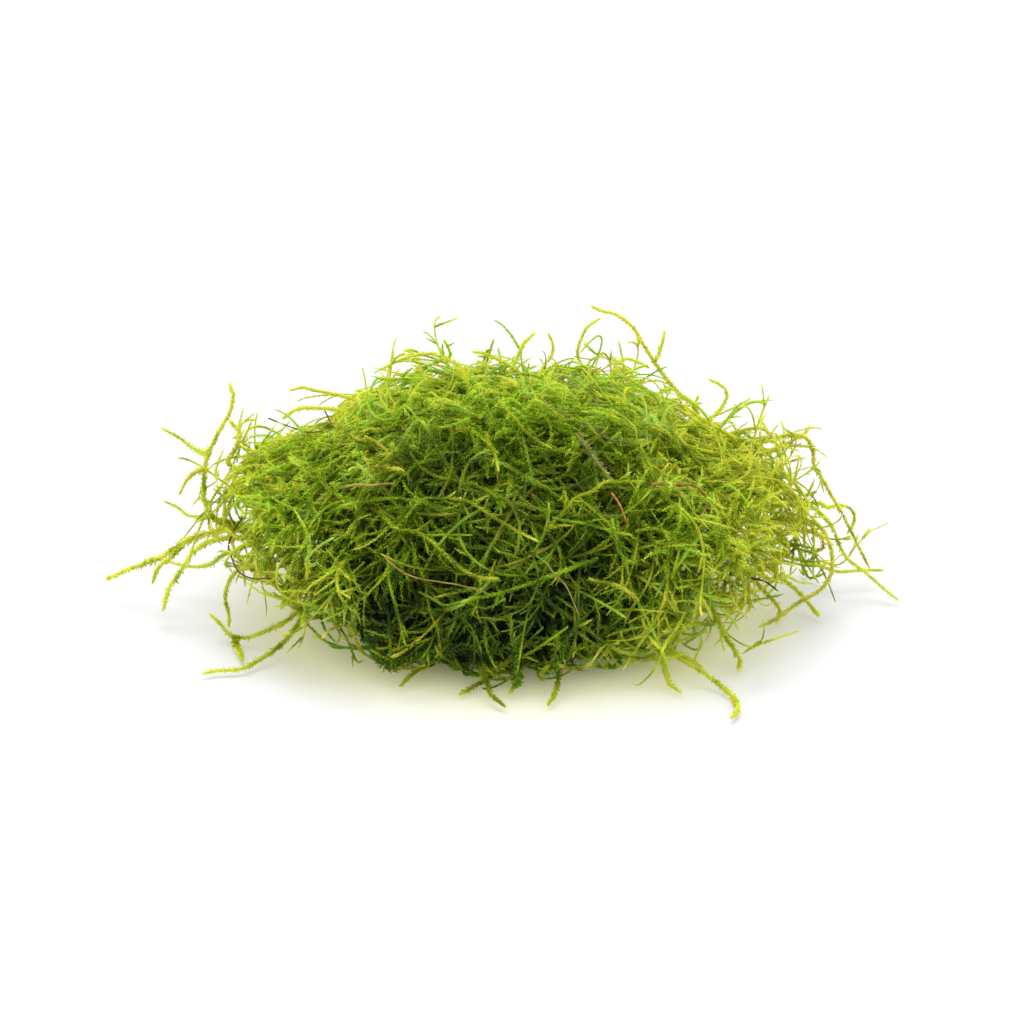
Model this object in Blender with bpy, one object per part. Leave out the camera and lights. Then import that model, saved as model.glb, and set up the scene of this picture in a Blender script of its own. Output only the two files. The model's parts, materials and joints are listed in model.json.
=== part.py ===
"""Moss clump: a tangled mat of leafy moss shoots, with loose shoots and bare stems round it.

The clump lies on the flat underside of its mat. The origin is on that underside, +Z is up, the
camera side is -Y. All sizes below are millimetres; make_object turns them into metres.
"""

import math

import bmesh
import bpy
import numpy as np
from mathutils import Vector
from mathutils.bvhtree import BVHTree

MM = 0.001
GAP = 0.3                 # air left between neighbouring pieces

# The mat, as a mound seen in plan: half lengths left/right and front/back, and its heights.
HALF_LENGTH = 43.5
HALF_DEPTH = 31.0
PLAN_POWER = 2.5          # 2 is an ellipse, more is squarer
CROWN_HEIGHT = 35.5
CROWN_POWER = 2.2
UNDERSIDE_POWER = 6.0
RIGHT_DIP = 4.5           # how much lower the crown's shoulders are than an even dome
LEFT_DIP = 3.0
RIM_HEIGHT = 9.0          # mean height of the widest line round the mat
LEFT_UNDERSIDE = 6.0      # the left and right ends are held up off the ground
RIGHT_UNDERSIDE = 5.5
SUNK_DEPTH = 1.5          # the middle reaches this far below the flat cut at z = 0
AZIMUTH_STEPS = 48
CROWN_RINGS = 14
UNDERSIDE_RINGS = 9

# Shoots and stems.
LEAFY_RADIUS = 0.55       # to the leaf tips
TIP_SHARE = 0.45          # radius at the tip, as a share of the radius at the base
TUBE_STEP = 2.6           # length of one straight facet of a tube
TRIM_STEP = 0.2           # spacing of the points used to find where a shoot leaves the mat
TUBE_BEVEL_RESOLUTION = 1  # six sides

# Routes run from inside the mat, or from the parent shoot, to the tip.
LOOSE_SHOOTS = {
    "left_trailing_shoot": [(-34, -3, 13), (-41, -4, 14), (-45, -3, 13), (-49, -2, 11), (-53, -1, 8),
                            (-56, 0, 6.5), (-58.5, 0, 5.5), (-61.5, 0, 4)],
    "left_low_shoot": [(-36, 2, 10), (-43, 1, 8), (-46, 2, 5.5), (-49.5, 3, 5), (-53, 4, 5.5)],
    "left_hanging_shoot": [(-36, -8, 14), (-43, -8, 14), (-47, -8, 12), (-49, -8, 9), (-51, -8, 6),
                           (-52, -8, 2.5)],
    "left_upright_shoot": [(-36, 0, 10), (-44, 0, 13.5), (-46, 0, 17), (-46, 0, 20), (-45.5, 1, 23.5),
                           (-43.5, 2, 27.5), (-42, 3, 30), (-41.5, 3, 32.5), (-42, 3, 34.5)],
    "left_forked_shoot": [(-36, 3, 20), (-42.5, 4, 21), (-41.5, 5, 23.5), (-41, 6, 25.5), (-42.5, 6, 27.5)],
    "left_twig_shoot": [(-36, 7, 9), (-45, 6, 11.5), (-49, 6, 12), (-51, 7, 13), (-53, 7, 14)],
    "upper_left_sweeping_shoot": [(-18, 6, 26), (-23, 7, 30), (-27, 8, 31), (-29.5, 8, 31.5),
                                  (-31.5, 8, 32), (-33.5, 8, 31.5)],
    "upper_left_low_shoot": [(-20, 3, 26), (-25, 4, 29.5), (-30, 4.5, 30), (-32.5, 5, 29.5), (-34.5, 5, 28)],
    "front_left_floor_shoot": [(-24, -10, 8), (-30, -15, 5.5), (-32, -18, 3.5), (-34, -20, 2),
                               (-36.5, -23, 1.3), (-39, -25.5, 1), (-42.5, -26, 0.9), (-44.5, -27, 0.9)],
    "front_left_arching_shoot": [(-26, -8, 8), (-32.5, -14, 4), (-36.5, -16, 2.5), (-39, -16, 1.6),
                                 (-41.5, -15, 1.6), (-43, -14, 3), (-44.5, -14, 4.5)],
    "front_left_dropping_shoot": [(-33, -4, 13), (-40, -8, 9.5), (-42, -9, 7.5), (-42.5, -10, 5),
                                  (-42, -10.5, 3), (-42, -11, 1)],
    "front_left_tip": [(-8, -20, 4), (-12, -27, 2.5), (-14, -29, 2), (-16, -31.5, 1)],
    "front_short_tip": [(0, -20, 5), (-2, -28, 2), (-5.5, -31.5, 1), (-7.5, -34, 0.9)],
    "front_kinked_shoot": [(-8, -20, 8), (-5.5, -28, 4.5), (-4, -32, 3.2), (-3, -35.5, 1.8), (-1, -38, 0.9)],
    "front_thin_shoot": [(3, -20, 7), (1.5, -26, 4.5), (1, -29, 2.8), (0.5, -32, 1.5), (-0.5, -34, 1)],
    "front_centre_shoot": [(6, -20, 8), (5.5, -27, 5), (6.5, -30, 3.5), (6.5, -33, 2.5), (6, -35, 1.4),
                           (5, -37.5, 0.9)],
    "front_right_long_shoot": [(13, -15, 6), (19.5, -22.5, 4.5), (22, -25.5, 4), (24.5, -27.5, 3.3),
                               (27, -29.5, 2.5), (29, -31, 1.5), (30.5, -33, 1), (31.5, -36, 0.9),
                               (31.5, -39.5, 0.9), (30.5, -41.5, 0.9)],
    "front_right_hanging_shoot": [(26, -6, 9), (29, -13, 6), (30, -16, 4.8), (31, -19, 3.3),
                                  (32.5, -22, 2), (33, -24, 1.3), (32.5, -26, 1)],
    "right_claw_shoot": [(33, 0, 8), (38.5, -5, 3.5), (40, -7, 2), (39.5, -9, 1)],
    "right_looping_shoot": [(36, 0, 14), (44.5, -1, 14), (47, -2, 12), (48, -3, 9), (47.5, -5, 6.5),
                            (45.5, -6, 4.5), (42.5, -8, 3.6), (39.5, -11, 2.6), (36.5, -13, 2)],
    "right_outer_shoot": [(36, 2, 15), (42, 1, 16), (45, 1, 15.5), (48, 1.5, 12.5), (49.5, 1.5, 9),
                          (51, 2, 6.5), (53.5, 2, 4.5), (56, 1, 2.5), (58.5, -1, 1)],
    "right_flat_shoot": [(34, 4, 8), (44, 4, 5.5), (47.5, 5, 4), (50, 5.5, 3), (53.5, 6, 3), (57, 6, 3)],
    "right_low_shoot": [(35, 1, 9), (42, -2, 4), (44.5, -4, 2), (46, -7, 1)],
    "right_rising_shoot": [(33, 9, 22), (43, 9, 24), (45.5, 9, 22), (46, 9, 19), (47.5, 9, 16.5),
                           (49, 8, 14), (50.5, 8, 11.5), (52, 8, 8.5), (53.5, 8, 5.5), (55, 8, 2.5)],
    "right_curling_shoot": [(36, 6, 13), (46, 10, 12.5), (48.5, 12, 11), (50.5, 13, 11), (52.5, 13.5, 10),
                            (53, 13.5, 8), (52, 13.5, 6)],
    "right_forked_shoot": [(34, 11, 18), (41, 12, 21), (44.5, 13, 22.5), (45.5, 13, 24)],
    "top_tall_shoot": [(31, 17, 16), (28.5, 20, 24), (26, 20, 26.5), (23.5, 20, 29.5), (21.5, 20, 32.5),
                       (20, 20, 35), (18.5, 20, 37.5), (16, 20, 39.5), (13.5, 20, 40.2), (12, 20, 41)],
    "top_bowed_shoot": [(12, 10, 26), (11.5, 14, 30), (11, 16, 32), (10, 17, 34), (10.5, 17, 36.5),
                        (11.5, 17, 38.5), (13.5, 16.5, 40.2)],
    "top_arching_shoot": [(15, 8, 26), (15, 12, 31), (15.5, 13, 33.5), (17, 14, 34.5), (19, 14, 34),
                          (21, 14, 33)],
    "top_hooked_shoot": [(26, 8, 18), (30, 13, 24.5), (32, 15, 26), (33, 16, 28), (32, 16, 29.5),
                         (30, 16, 30.5)],
    "top_thick_shoot": [(-1, 8, 28), (-1, 13, 31), (0, 15, 32.5), (1, 16, 34.5), (2, 16, 36.5), (3.5, 16, 38)],
    "top_short_shoot": [(3, 10, 28), (4, 15, 31), (5, 17, 32.5), (6, 18, 33.5), (6.3, 19, 35), (5.5, 19, 37)],
    "top_sweeping_shoot": [(3, 6, 28), (1.5, 10.5, 32.5), (0, 11.5, 34), (-2, 12, 35), (-4, 12, 36),
                           (-6, 12, 36.3)],
    "top_left_arc_shoot": [(-12, 8, 26), (-13.5, 12, 32), (-14, 14, 33.5), (-15, 15, 35), (-16.5, 15, 35.5)],
    "top_left_bowed_shoot": [(-5, 2, 30), (-7.5, 6, 35.5), (-10, 8, 36.5), (-12, 9, 37), (-14.5, 9, 36.8),
                             (-17, 9, 36), (-19.5, 8.5, 34.8)],
    "back_left_shoot": [(-24, 14, 12), (-32, 25, 9), (-37, 30, 5), (-41, 33, 2), (-44, 34, 1)],
    "back_high_shoot": [(-14, 12, 20), (-20, 22, 24), (-24, 26, 24.5), (-27, 28, 21)],
    "back_floor_shoot": [(-4, 20, 8), (-7, 31, 4), (-8, 36, 2), (-11, 41, 1)],
    "back_short_shoot": [(2, 20, 14), (3, 31, 18), (3, 35, 17), (1, 38, 14)],
    "back_arching_shoot": [(12, 18, 12), (14, 30, 15), (15, 36, 11), (15, 40, 6), (17, 42, 2)],
    "back_low_shoot": [(18, 18, 7), (24, 30, 4), (28, 35, 2), (30, 38, 1)],
    "back_right_shoot": [(26, 12, 12), (34, 22, 10), (39, 26, 7), (43, 28, 3), (46, 28, 1)],
}

# Side branches that leave a loose shoot at a main fork: parent, then the route.
FORKED_BRANCHES = {
    "left_trailing_branch": ("left_trailing_shoot", [(-49, -2, 11), (-51, -3, 9), (-53, -3.5, 7.5), (-54, -4, 5)]),
    "left_upright_high_branch": ("left_upright_shoot", [(-45, 1, 24), (-47.5, 3, 24), (-50, 4, 25.5), (-52.5, 4, 27)]),
    "left_upright_low_branch": ("left_upright_shoot", [(-46, 0, 22), (-48, -2, 21.5), (-49.5, -3, 19)]),
    "front_left_arching_branch": ("front_left_arching_shoot", [(-41, -15.5, 1.5), (-40, -19, 1.1), (-39, -22.5, 0.9)]),
    "front_right_upper_branch": ("front_right_long_shoot", [(22, -25, 4), (25.5, -25.5, 2.5), (27.5, -26.5, 1.6)]),
    "front_right_thin_branch": ("front_right_long_shoot", [(21, -25, 4), (22, -29, 2), (22.5, -31, 1.2),
                                                           (24, -33.5, 0.9)]),
    "top_tall_branch": ("top_tall_shoot", [(22, 20, 32), (23, 21, 34), (23.5, 21.5, 36.5)]),
}

# Bare stems lie on the outside of the mat: plan points, radius, colour.
BARE_STEMS = {
    "bare_stem_orange": ([(14, -22), (15, -23), (16, -24.5)], 0.25, (0.45, 0.20, 0.08)),
    "bare_stem_red": ([(19.5, -19.5), (22.5, -18), (25.5, -16), (27.5, -16.5), (27, -19), (25.5, -21)], 0.22,
                      (0.30, 0.10, 0.06)),
    "bare_stem_grey": ([(9, -14.5), (11, -17), (12.5, -19), (13.5, -20)], 0.5, (0.22, 0.20, 0.13)),
    "bare_stem_purple": ([(10, -12), (12, -13), (14, -14), (16, -13.5)], 0.2, (0.24, 0.16, 0.15)),
    "bare_stem_pink": ([(-24, -18.5), (-21.5, -20), (-19.5, -21), (-16.5, -21.5)], 0.25, (0.38, 0.20, 0.11)),
    "bare_stem_stub": ([(-19, -19.3), (-17.5, -19.8), (-15.5, -20.3)], 0.5, (0.28, 0.20, 0.06)),
    "bare_stem_dark": ([(-13, -16.5), (-12, -15), (-10.5, -14)], 0.3, (0.08, 0.05, 0.035)),
    "bare_stem_split": ([(-23, -8), (-22, -10), (-20.5, -12.5)], 0.4, (0.06, 0.04, 0.015)),
    "bare_stem_back": ([(-9, 19), (-4, 21), (3, 22), (9, 20)], 0.3, (0.14, 0.08, 0.04)),
}

YELLOW_GREEN = (0.30, 0.42, 0.03)
DEEP_GREEN = (0.12, 0.18, 0.012)
DAMP_ROUGHNESS = 0.5


def smooth_step(value, start, end):
    """Zero before start, one after end, and an even S between them."""
    t = np.clip((value - start) / (end - start), 0.0, 1.0)
    return t * t * (3.0 - 2.0 * t)


def plan_radius(azimuth):
    """Distance from the middle to the mat's edge: a superellipse with a slight wobble."""
    across = (np.abs(np.cos(azimuth)) / HALF_LENGTH) ** PLAN_POWER
    along = (np.abs(np.sin(azimuth)) / HALF_DEPTH) ** PLAN_POWER
    wobble = 1.0 + 0.025 * np.sin(3.0 * azimuth + 0.6) + 0.02 * np.sin(8.0 * azimuth + 2.0)
    return (across + along) ** (-1.0 / PLAN_POWER) * wobble


def rim_height(azimuth):
    """Height of the widest line: high at the left end, lower at the right, lowest in front."""
    left = np.clip(-np.cos(azimuth), 0.0, 1.0) ** 2
    right = np.clip(np.cos(azimuth), 0.0, 1.0) ** 2
    return RIM_HEIGHT - 2.5 + 9.0 * left + 5.0 * right


def crown_height(x, y, share, rim):
    """Upper surface: a dome from the rim, lower on its two shoulders, with shallow lumps."""
    dip = RIGHT_DIP * np.exp(-((x - 27.0) / 9.0) ** 2) + LEFT_DIP * np.exp(-((x + 31.0) / 8.0) ** 2)
    lumps = 0.7 * np.sin(x / 3.3 + 0.8) * np.cos(y / 2.9) + 0.5 * np.sin(x / 6.1 - y / 4.7)
    dome = np.sqrt(np.clip(1.0 - share ** CROWN_POWER, 0.0, 1.0))
    return rim + (CROWN_HEIGHT - rim - dip + lumps) * dome


def underside_height(x, share, rim):
    """Lower surface: just below the cut in the middle, held up at the left and right ends."""
    left = smooth_step(-x, 14.0, 34.0)
    right = smooth_step(x, 20.0, 38.0)
    base = (LEFT_UNDERSIDE + SUNK_DEPTH) * left + (RIGHT_UNDERSIDE + SUNK_DEPTH) * right - SUNK_DEPTH
    return rim - (rim - base) * np.sqrt(np.clip(1.0 - share ** UNDERSIDE_POWER, 0.0, 1.0))


def make_material(name, colour):
    material = bpy.data.materials.new(name)
    material.use_nodes = True
    shader = material.node_tree.nodes["Principled BSDF"]
    shader.inputs["Base Color"].default_value = (*colour, 1.0)
    shader.inputs["Roughness"].default_value = DAMP_ROUGHNESS
    shader.inputs["Metallic"].default_value = 0.0
    return material


def make_object(name, bm, colour):
    """Turn a bmesh in millimetres into an object in metres, shaded smooth."""
    bmesh.ops.scale(bm, vec=(MM, MM, MM), verts=bm.verts)
    bmesh.ops.recalc_face_normals(bm, faces=bm.faces)
    mesh = bpy.data.meshes.new(name)
    bm.to_mesh(mesh)
    bm.free()
    mesh.shade_smooth()
    mesh.materials.append(make_material(name, colour))
    piece = bpy.data.objects.new(name, mesh)
    bpy.context.scene.collection.objects.link(piece)
    return piece


def mat_mesh():
    """The mat as rings from the top of the crown, over the rim, to the middle of the underside."""
    crown_shares = np.sin(np.linspace(0.0, math.pi / 2, CROWN_RINGS + 1))[1:]
    underside_shares = np.sin(np.linspace(math.pi / 2, 0.0, UNDERSIDE_RINGS + 1))[1:-1]
    azimuth = np.linspace(0.0, 2.0 * math.pi, AZIMUTH_STEPS, endpoint=False)
    rim = rim_height(azimuth)

    bm = bmesh.new()
    top = bm.verts.new((0.0, 0.0, CROWN_HEIGHT))
    rings = []
    for shares, is_crown in ((crown_shares, True), (underside_shares, False)):
        for share in shares:
            x = share * plan_radius(azimuth) * np.cos(azimuth)
            y = share * plan_radius(azimuth) * np.sin(azimuth)
            z = crown_height(x, y, share, rim) if is_crown else underside_height(x, share, rim)
            rings.append([bm.verts.new(corner) for corner in zip(x, y, z)])
    bottom = bm.verts.new((0.0, 0.0, -SUNK_DEPTH))

    for step in range(AZIMUTH_STEPS):
        following = (step + 1) % AZIMUTH_STEPS
        bm.faces.new((top, rings[0][step], rings[0][following]))
        bm.faces.new((bottom, rings[-1][following], rings[-1][step]))
        for upper, lower in zip(rings, rings[1:]):
            bm.faces.new((upper[step], lower[step], lower[following], upper[following]))

    cut_flat_underside(bm)
    return bm


def cut_flat_underside(bm):
    """Cut the mound off at z = 0 and close the cut with one flat face."""
    everything = bm.verts[:] + bm.edges[:] + bm.faces[:]
    cut = bmesh.ops.bisect_plane(bm, geom=everything, plane_co=(0, 0, 0), plane_no=(0, 0, 1), clear_inner=True)
    rim_edges = [item for item in cut["geom_cut"] if isinstance(item, bmesh.types.BMEdge)]
    bmesh.ops.contextual_create(bm, geom=rim_edges)
    bmesh.ops.triangulate(bm, faces=[face for face in bm.faces if len(face.verts) == 4])


def smooth_route(points, step):
    """Points a step apart on a Catmull-Rom curve through the route."""
    knots = [Vector(point) for point in points]
    knots = [2 * knots[0] - knots[1]] + knots + [2 * knots[-1] - knots[-2]]
    fine = []
    for before, start, end, after in zip(knots, knots[1:], knots[2:], knots[3:]):
        for t in np.linspace(0.0, 1.0, 24, endpoint=False):
            fine.append(0.5 * (2 * start + (end - before) * t
                               + (2 * before - 5 * start + 4 * end - after) * t ** 2
                               + (3 * start - before - 3 * end + after) * t ** 3))
    fine = np.array(fine + [knots[-2]])
    along = np.concatenate(([0.0], np.cumsum(np.linalg.norm(np.diff(fine, axis=0), axis=1))))
    count = max(3, int(round(along[-1] / step)) + 1)
    at = np.linspace(0.0, along[-1], count)
    return np.stack([np.interp(at, along, fine[:, axis]) for axis in range(3)], axis=1)


def clear_of_mat(point, tree, clearance):
    """True where a point is outside the mat and at least the clearance away from it."""
    surface, normal, _, distance = tree.find_nearest(Vector(point))
    return (Vector(point) - surface).dot(normal) > 0.0 and distance > clearance


def free_stretch(route, tree, parent_route=None):
    """Keep the stretch of a route, up to its tip, that is clear of the mat and of its parent shoot."""
    fine = smooth_route(route, TRIM_STEP)
    blocked = np.array([not clear_of_mat(point, tree, LEAFY_RADIUS + GAP) for point in fine])
    if parent_route:
        parent = smooth_route(parent_route, TRIM_STEP)
        distance = np.linalg.norm(fine[:, None, :] - parent[None, :, :], axis=2).min(axis=1)
        blocked |= distance < 2 * LEAFY_RADIUS + GAP
    return fine[np.nonzero(blocked)[0].max(initial=-1) + 1:]


def make_tube(name, fine, radius, colour):
    """A six-sided tube with filled ends along a route, thinner towards its tip."""
    route = smooth_route(fine[::5].tolist() + [fine[-1].tolist()], TUBE_STEP)
    curve = bpy.data.curves.new(name, "CURVE")
    curve.dimensions = "3D"
    curve.bevel_depth = radius * MM
    curve.bevel_resolution = TUBE_BEVEL_RESOLUTION
    curve.use_fill_caps = True
    spline = curve.splines.new("POLY")
    spline.points.add(len(route) - 1)
    thinning = np.linspace(1.0, TIP_SHARE, len(route))
    for point, place, share in zip(spline.points, route, thinning):
        point.co = (*(place * MM), 1.0)
        point.radius = share
    curve.materials.append(make_material(name, colour))
    tube = bpy.data.objects.new(name, curve)
    bpy.context.scene.collection.objects.link(tube)
    return tube


def lay_on_mat(plan_points, tree, clearance):
    """A route over the mat: plan points dropped onto its surface, then lifted clear of it."""
    plan = smooth_route([(x, y, 0.0) for x, y in plan_points], TRIM_STEP)
    laid = []
    for x, y, _ in plan:
        surface, normal, _, _ = tree.ray_cast(Vector((x, y, 2 * CROWN_HEIGHT)), Vector((0, 0, -1)))
        laid.append(surface + normal * clearance)
    return np.array(laid)


def build():
    for piece in list(bpy.data.objects):
        bpy.data.objects.remove(piece, do_unlink=True)

    bm = mat_mesh()
    tree = BVHTree.FromBMesh(bm)
    make_object("tangled_mat", bm, DEEP_GREEN)

    for name, route in LOOSE_SHOOTS.items():
        make_tube(name, free_stretch(route, tree), LEAFY_RADIUS, YELLOW_GREEN)
    for name, (parent, route) in FORKED_BRANCHES.items():
        make_tube(name, free_stretch(route, tree, LOOSE_SHOOTS[parent]), LEAFY_RADIUS, YELLOW_GREEN)
    for name, (plan_points, radius, colour) in BARE_STEMS.items():
        fine = lay_on_mat(plan_points, tree, 2 * radius + 2 * GAP)
        make_tube(name, fine, radius, colour)


build()
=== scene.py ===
import json
import math

import bpy
import numpy as np
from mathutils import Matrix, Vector

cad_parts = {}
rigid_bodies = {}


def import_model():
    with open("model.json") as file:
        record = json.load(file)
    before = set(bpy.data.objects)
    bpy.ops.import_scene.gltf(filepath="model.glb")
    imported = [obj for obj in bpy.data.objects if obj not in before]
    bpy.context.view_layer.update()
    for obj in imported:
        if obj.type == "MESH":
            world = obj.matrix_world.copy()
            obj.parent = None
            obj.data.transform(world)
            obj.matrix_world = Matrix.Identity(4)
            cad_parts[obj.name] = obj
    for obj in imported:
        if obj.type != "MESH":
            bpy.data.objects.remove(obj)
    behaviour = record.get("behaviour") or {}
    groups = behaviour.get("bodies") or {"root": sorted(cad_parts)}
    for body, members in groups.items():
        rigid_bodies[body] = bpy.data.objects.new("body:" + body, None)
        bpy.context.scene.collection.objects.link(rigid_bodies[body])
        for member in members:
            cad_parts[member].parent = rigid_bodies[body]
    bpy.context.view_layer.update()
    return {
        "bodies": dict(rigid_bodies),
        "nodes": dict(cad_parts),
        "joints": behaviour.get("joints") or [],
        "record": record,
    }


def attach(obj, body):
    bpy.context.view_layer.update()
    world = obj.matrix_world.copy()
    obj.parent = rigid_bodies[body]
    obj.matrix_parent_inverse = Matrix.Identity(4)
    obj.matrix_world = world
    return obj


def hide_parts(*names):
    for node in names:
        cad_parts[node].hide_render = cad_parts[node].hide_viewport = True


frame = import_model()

mm = 0.001        # everything below is worked out in millimetres and put into meshes in metres

# the front view that the surface shoots are drawn in, and that the camera takes
view = {"elevation": math.radians(22.0), "distance": 469.3, "aimHeight": 15.05, "lens": 110.0}

# the mat's outer shape: the mound of the CAD solid, but 2.5 mm lower at the upper left and with its underside
# 2 to 2.5 mm higher at both ends
mat = {
    "halfLength": 43.5, "halfDepth": 31.0, "planPower": 2.5, "crownPower": 2.2, "undersidePower": 6.0,
    "crownHeight": 35.5, "rightDip": 4.5, "rightDipAt": 27.0, "leftDip": 5.5, "leftDipAt": -30.0,
    "dipWidth": 9.0, "rimHeight": 6.5, "rimRiseLeft": 9.0, "rimRiseRight": 5.0, "sunkDepth": 1.5,
    "leftUnderside": 8.5, "leftLift": (13.0, 33.0), "rightUnderside": 7.5, "rightLift": (17.0, 36.0),
}


def smoothStep(value, start, end):
    # 0 before start, 1 after end, 3t^2 - 2t^3 between them
    t = np.clip((value - start) / (end - start), 0.0, 1.0)
    return t * t * (3.0 - 2.0 * t)


def unit(vectors):
    # each vector divided by its own length
    return vectors / (np.linalg.norm(vectors, axis=-1, keepdims=True) + 1e-9)


def planRadius(azimuth):
    # superellipse |cos/a|^n + |sin/b|^n to the power -1/n, times a slight wobble
    across = (np.abs(np.cos(azimuth)) / mat["halfLength"]) ** mat["planPower"]
    along = (np.abs(np.sin(azimuth)) / mat["halfDepth"]) ** mat["planPower"]
    wobble = 1.0 + 0.025 * np.sin(3.0 * azimuth + 0.6) + 0.02 * np.sin(8.0 * azimuth + 2.0)
    return (across + along) ** (-1.0 / mat["planPower"]) * wobble


def rimHeight(azimuth):
    # the rim rises with the square of the cosine towards both ends
    left = np.clip(-np.cos(azimuth), 0.0, 1.0) ** 2
    right = np.clip(np.cos(azimuth), 0.0, 1.0) ** 2
    return mat["rimHeight"] + mat["rimRiseLeft"] * left + mat["rimRiseRight"] * right


def crownTop(x, y):
    # the crown's height less a bell-shaped dip at each shoulder, plus two crossed waves
    dip = mat["rightDip"] * np.exp(-((x - mat["rightDipAt"]) / mat["dipWidth"]) ** 2)
    dip = dip + mat["leftDip"] * np.exp(-((x - mat["leftDipAt"]) / mat["dipWidth"]) ** 2)
    lumps = 0.7 * np.sin(x / 3.3 + 0.8) * np.cos(y / 2.9) + 0.5 * np.sin(x / 6.1 - y / 4.7)
    return mat["crownHeight"] - dip + lumps


def undersideBase(x):
    # flat and just under the ground in the middle, lifted by a smooth step at each end
    left = smoothStep(-x, *mat["leftLift"]) * (mat["leftUnderside"] + mat["sunkDepth"])
    right = smoothStep(x, *mat["rightLift"]) * (mat["rightUnderside"] + mat["sunkDepth"])
    return left + right - mat["sunkDepth"]


def matLevel(points):
    # 0 in the middle and 1 on the surface: share of the plan radius to a power, plus the square of
    # the share of the height above the rim (crown) or below it (underside)
    x, y, z = points[..., 0], points[..., 1], points[..., 2]
    azimuth = np.arctan2(y, x)
    share = np.hypot(x, y) / planRadius(azimuth)
    rim = rimHeight(azimuth)
    up = (z - rim) / (crownTop(x, y) - rim)
    down = (rim - z) / (rim - undersideBase(x))
    return np.where(z > rim, share ** mat["crownPower"] + up ** 2, share ** mat["undersidePower"] + down ** 2)


def matDepth(points):
    # depth under the surface and the way out, from the level and its slope
    probe = 0.3
    slope = [matLevel(points + probe * axis) - matLevel(points - probe * axis) for axis in np.eye(3)]
    slope = np.stack(slope, -1) / (2.0 * probe)
    size = np.linalg.norm(slope, axis=-1, keepdims=True) + 1e-6
    return (1.0 - matLevel(points)) / size[..., 0], slope / size


def matSurface(azimuth, share, underneath):
    # point of the mound at a share of the plan radius, on the crown or on the underside
    radius = share * planRadius(azimuth)
    x, y, rim = radius * np.cos(azimuth), radius * np.sin(azimuth), rimHeight(azimuth)
    dome = np.sqrt(np.clip(1.0 - share ** mat["crownPower"], 0.0, 1.0))
    bowl = np.sqrt(np.clip(1.0 - share ** mat["undersidePower"], 0.0, 1.0))
    z = np.where(underneath, rim - (rim - undersideBase(x)) * bowl, rim + (crownTop(x, y) - rim) * dome)
    return np.stack([x, y, z], -1)


# how light the leaves are painted: the plain value, the painted light added at the thin ends and the top,
# where light comes through, and the painted shade taken off in the hollow and with depth, the strength of the
# broad and the fine waves, and where each of these begins and ends
shade = {
    "base": 0.64, "atEnds": 0.36, "atTop": 0.42, "hollow": 0.02, "perDepth": 0.078, "depthSpared": 0.88,
    "broad": 0.07, "fine": 0.19, "fineEnds": 0.10, "darkMiddle": -8.0, "darkLean": 7.0, "leanUp": (5.0, 17.0),
    "endsOut": (10.0, 36.0), "topUp": (24.0, 38.0), "sparedUp": (12.0, 32.0),
    "hollowAt": (-8.0, 8.0), "hollowSize": (14.0, 8.0), "hollowFront": (4.0, 18.0),
}

# lighter and darker patches of painted light and shade: middle across and up in the front view, radius, and
# how much lighter
patches = [
    (-31.0, 12.0, 5.0, -0.16), (-32.0, 19.0, 9.0, -0.09), (-9.0, 25.0, 6.0, -0.07), (-2.0, 6.0, 5.0, -0.03),
    (22.0, 10.0, 4.0, -0.12), (31.0, 14.0, 3.5, -0.12), (21.0, -3.0, 8.0, 0.16), (1.0, 13.0, 8.0, 0.11),
    (-24.0, 31.0, 8.0, 0.20), (41.0, 20.0, 8.0, 0.05), (-24.0, 1.0, 5.0, 0.05), (14.0, 27.0, 7.0, 0.02),
    (-16.0, 19.0, 7.0, -0.05), (4.0, 21.0, 7.0, -0.05),
]


def endsShare(x, z):
    # 0 in the dark middle, which lies further to the right with height, and 1 at the thin ends
    middle = shade["darkMiddle"] + shade["darkLean"] * smoothStep(z, *shade["leanUp"])
    return smoothStep(np.abs(x - middle), *shade["endsOut"])


def topShare(y, z):
    # 1 along the top edge, where light comes through from behind, and 0 below and in front of it
    return smoothStep(z + 0.4 * y, *shade["topUp"])


def leafLight(points, depth):
    # painted light towards the thin ends and the top, painted shade with depth and in the hollow low at the
    # front, with bell-shaped patches of painted light and shade and broad and fine crossed waves over it
    x, y, z = points[..., 0], points[..., 1], points[..., 2]
    ends, top = endsShare(x, z), topShare(y, z)
    (atX, atZ), (sizeX, sizeZ) = shade["hollowAt"], shade["hollowSize"]
    hollow = np.exp(-((x - atX) / sizeX) ** 2 - ((z - atZ) / sizeZ) ** 2)
    hollow = hollow * smoothStep(-y, *shade["hollowFront"])
    light = shade["base"] + shade["atEnds"] * ends + shade["atTop"] * top - shade["hollow"] * hollow
    up = math.cos(view["elevation"]) * z + math.sin(view["elevation"]) * y
    for acrossAt, upAt, radius, lighter in patches:
        light = light + lighter * np.exp(-((x - acrossAt) ** 2 + (up - upAt) ** 2) / radius ** 2)
    broad = np.sin(x / 3.1 + 1.3 + 0.8 * np.sin(y / 4.0)) * np.cos(z / 2.6 + y / 3.7)
    fine = np.sin(x / 1.05 + 1.6 * np.sin(up / 2.3 + 0.5) + 0.7) * np.cos(up / 0.9 + 1.5 * np.sin(x / 2.7))
    light = light + shade["broad"] * broad + (shade["fine"] + shade["fineEnds"] * ends) * fine
    # painted shade: darker with depth, less so at the thin ends and high up
    low = 1.0 - shade["depthSpared"] * np.maximum(ends, smoothStep(z, *shade["sparedUp"]))
    return light - np.clip(depth, 0.0, None) * shade["perDepth"] * low


# the moss's five hues, in the order in which they lie side by side on the shoots' map; shaded is a darker,
# cooler green, partly the moss's own and partly painted shade, and is picked more with depth
hues = {"young": 0, "vivid": 1, "shaded": 2, "old": 3, "dead": 4}

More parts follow.
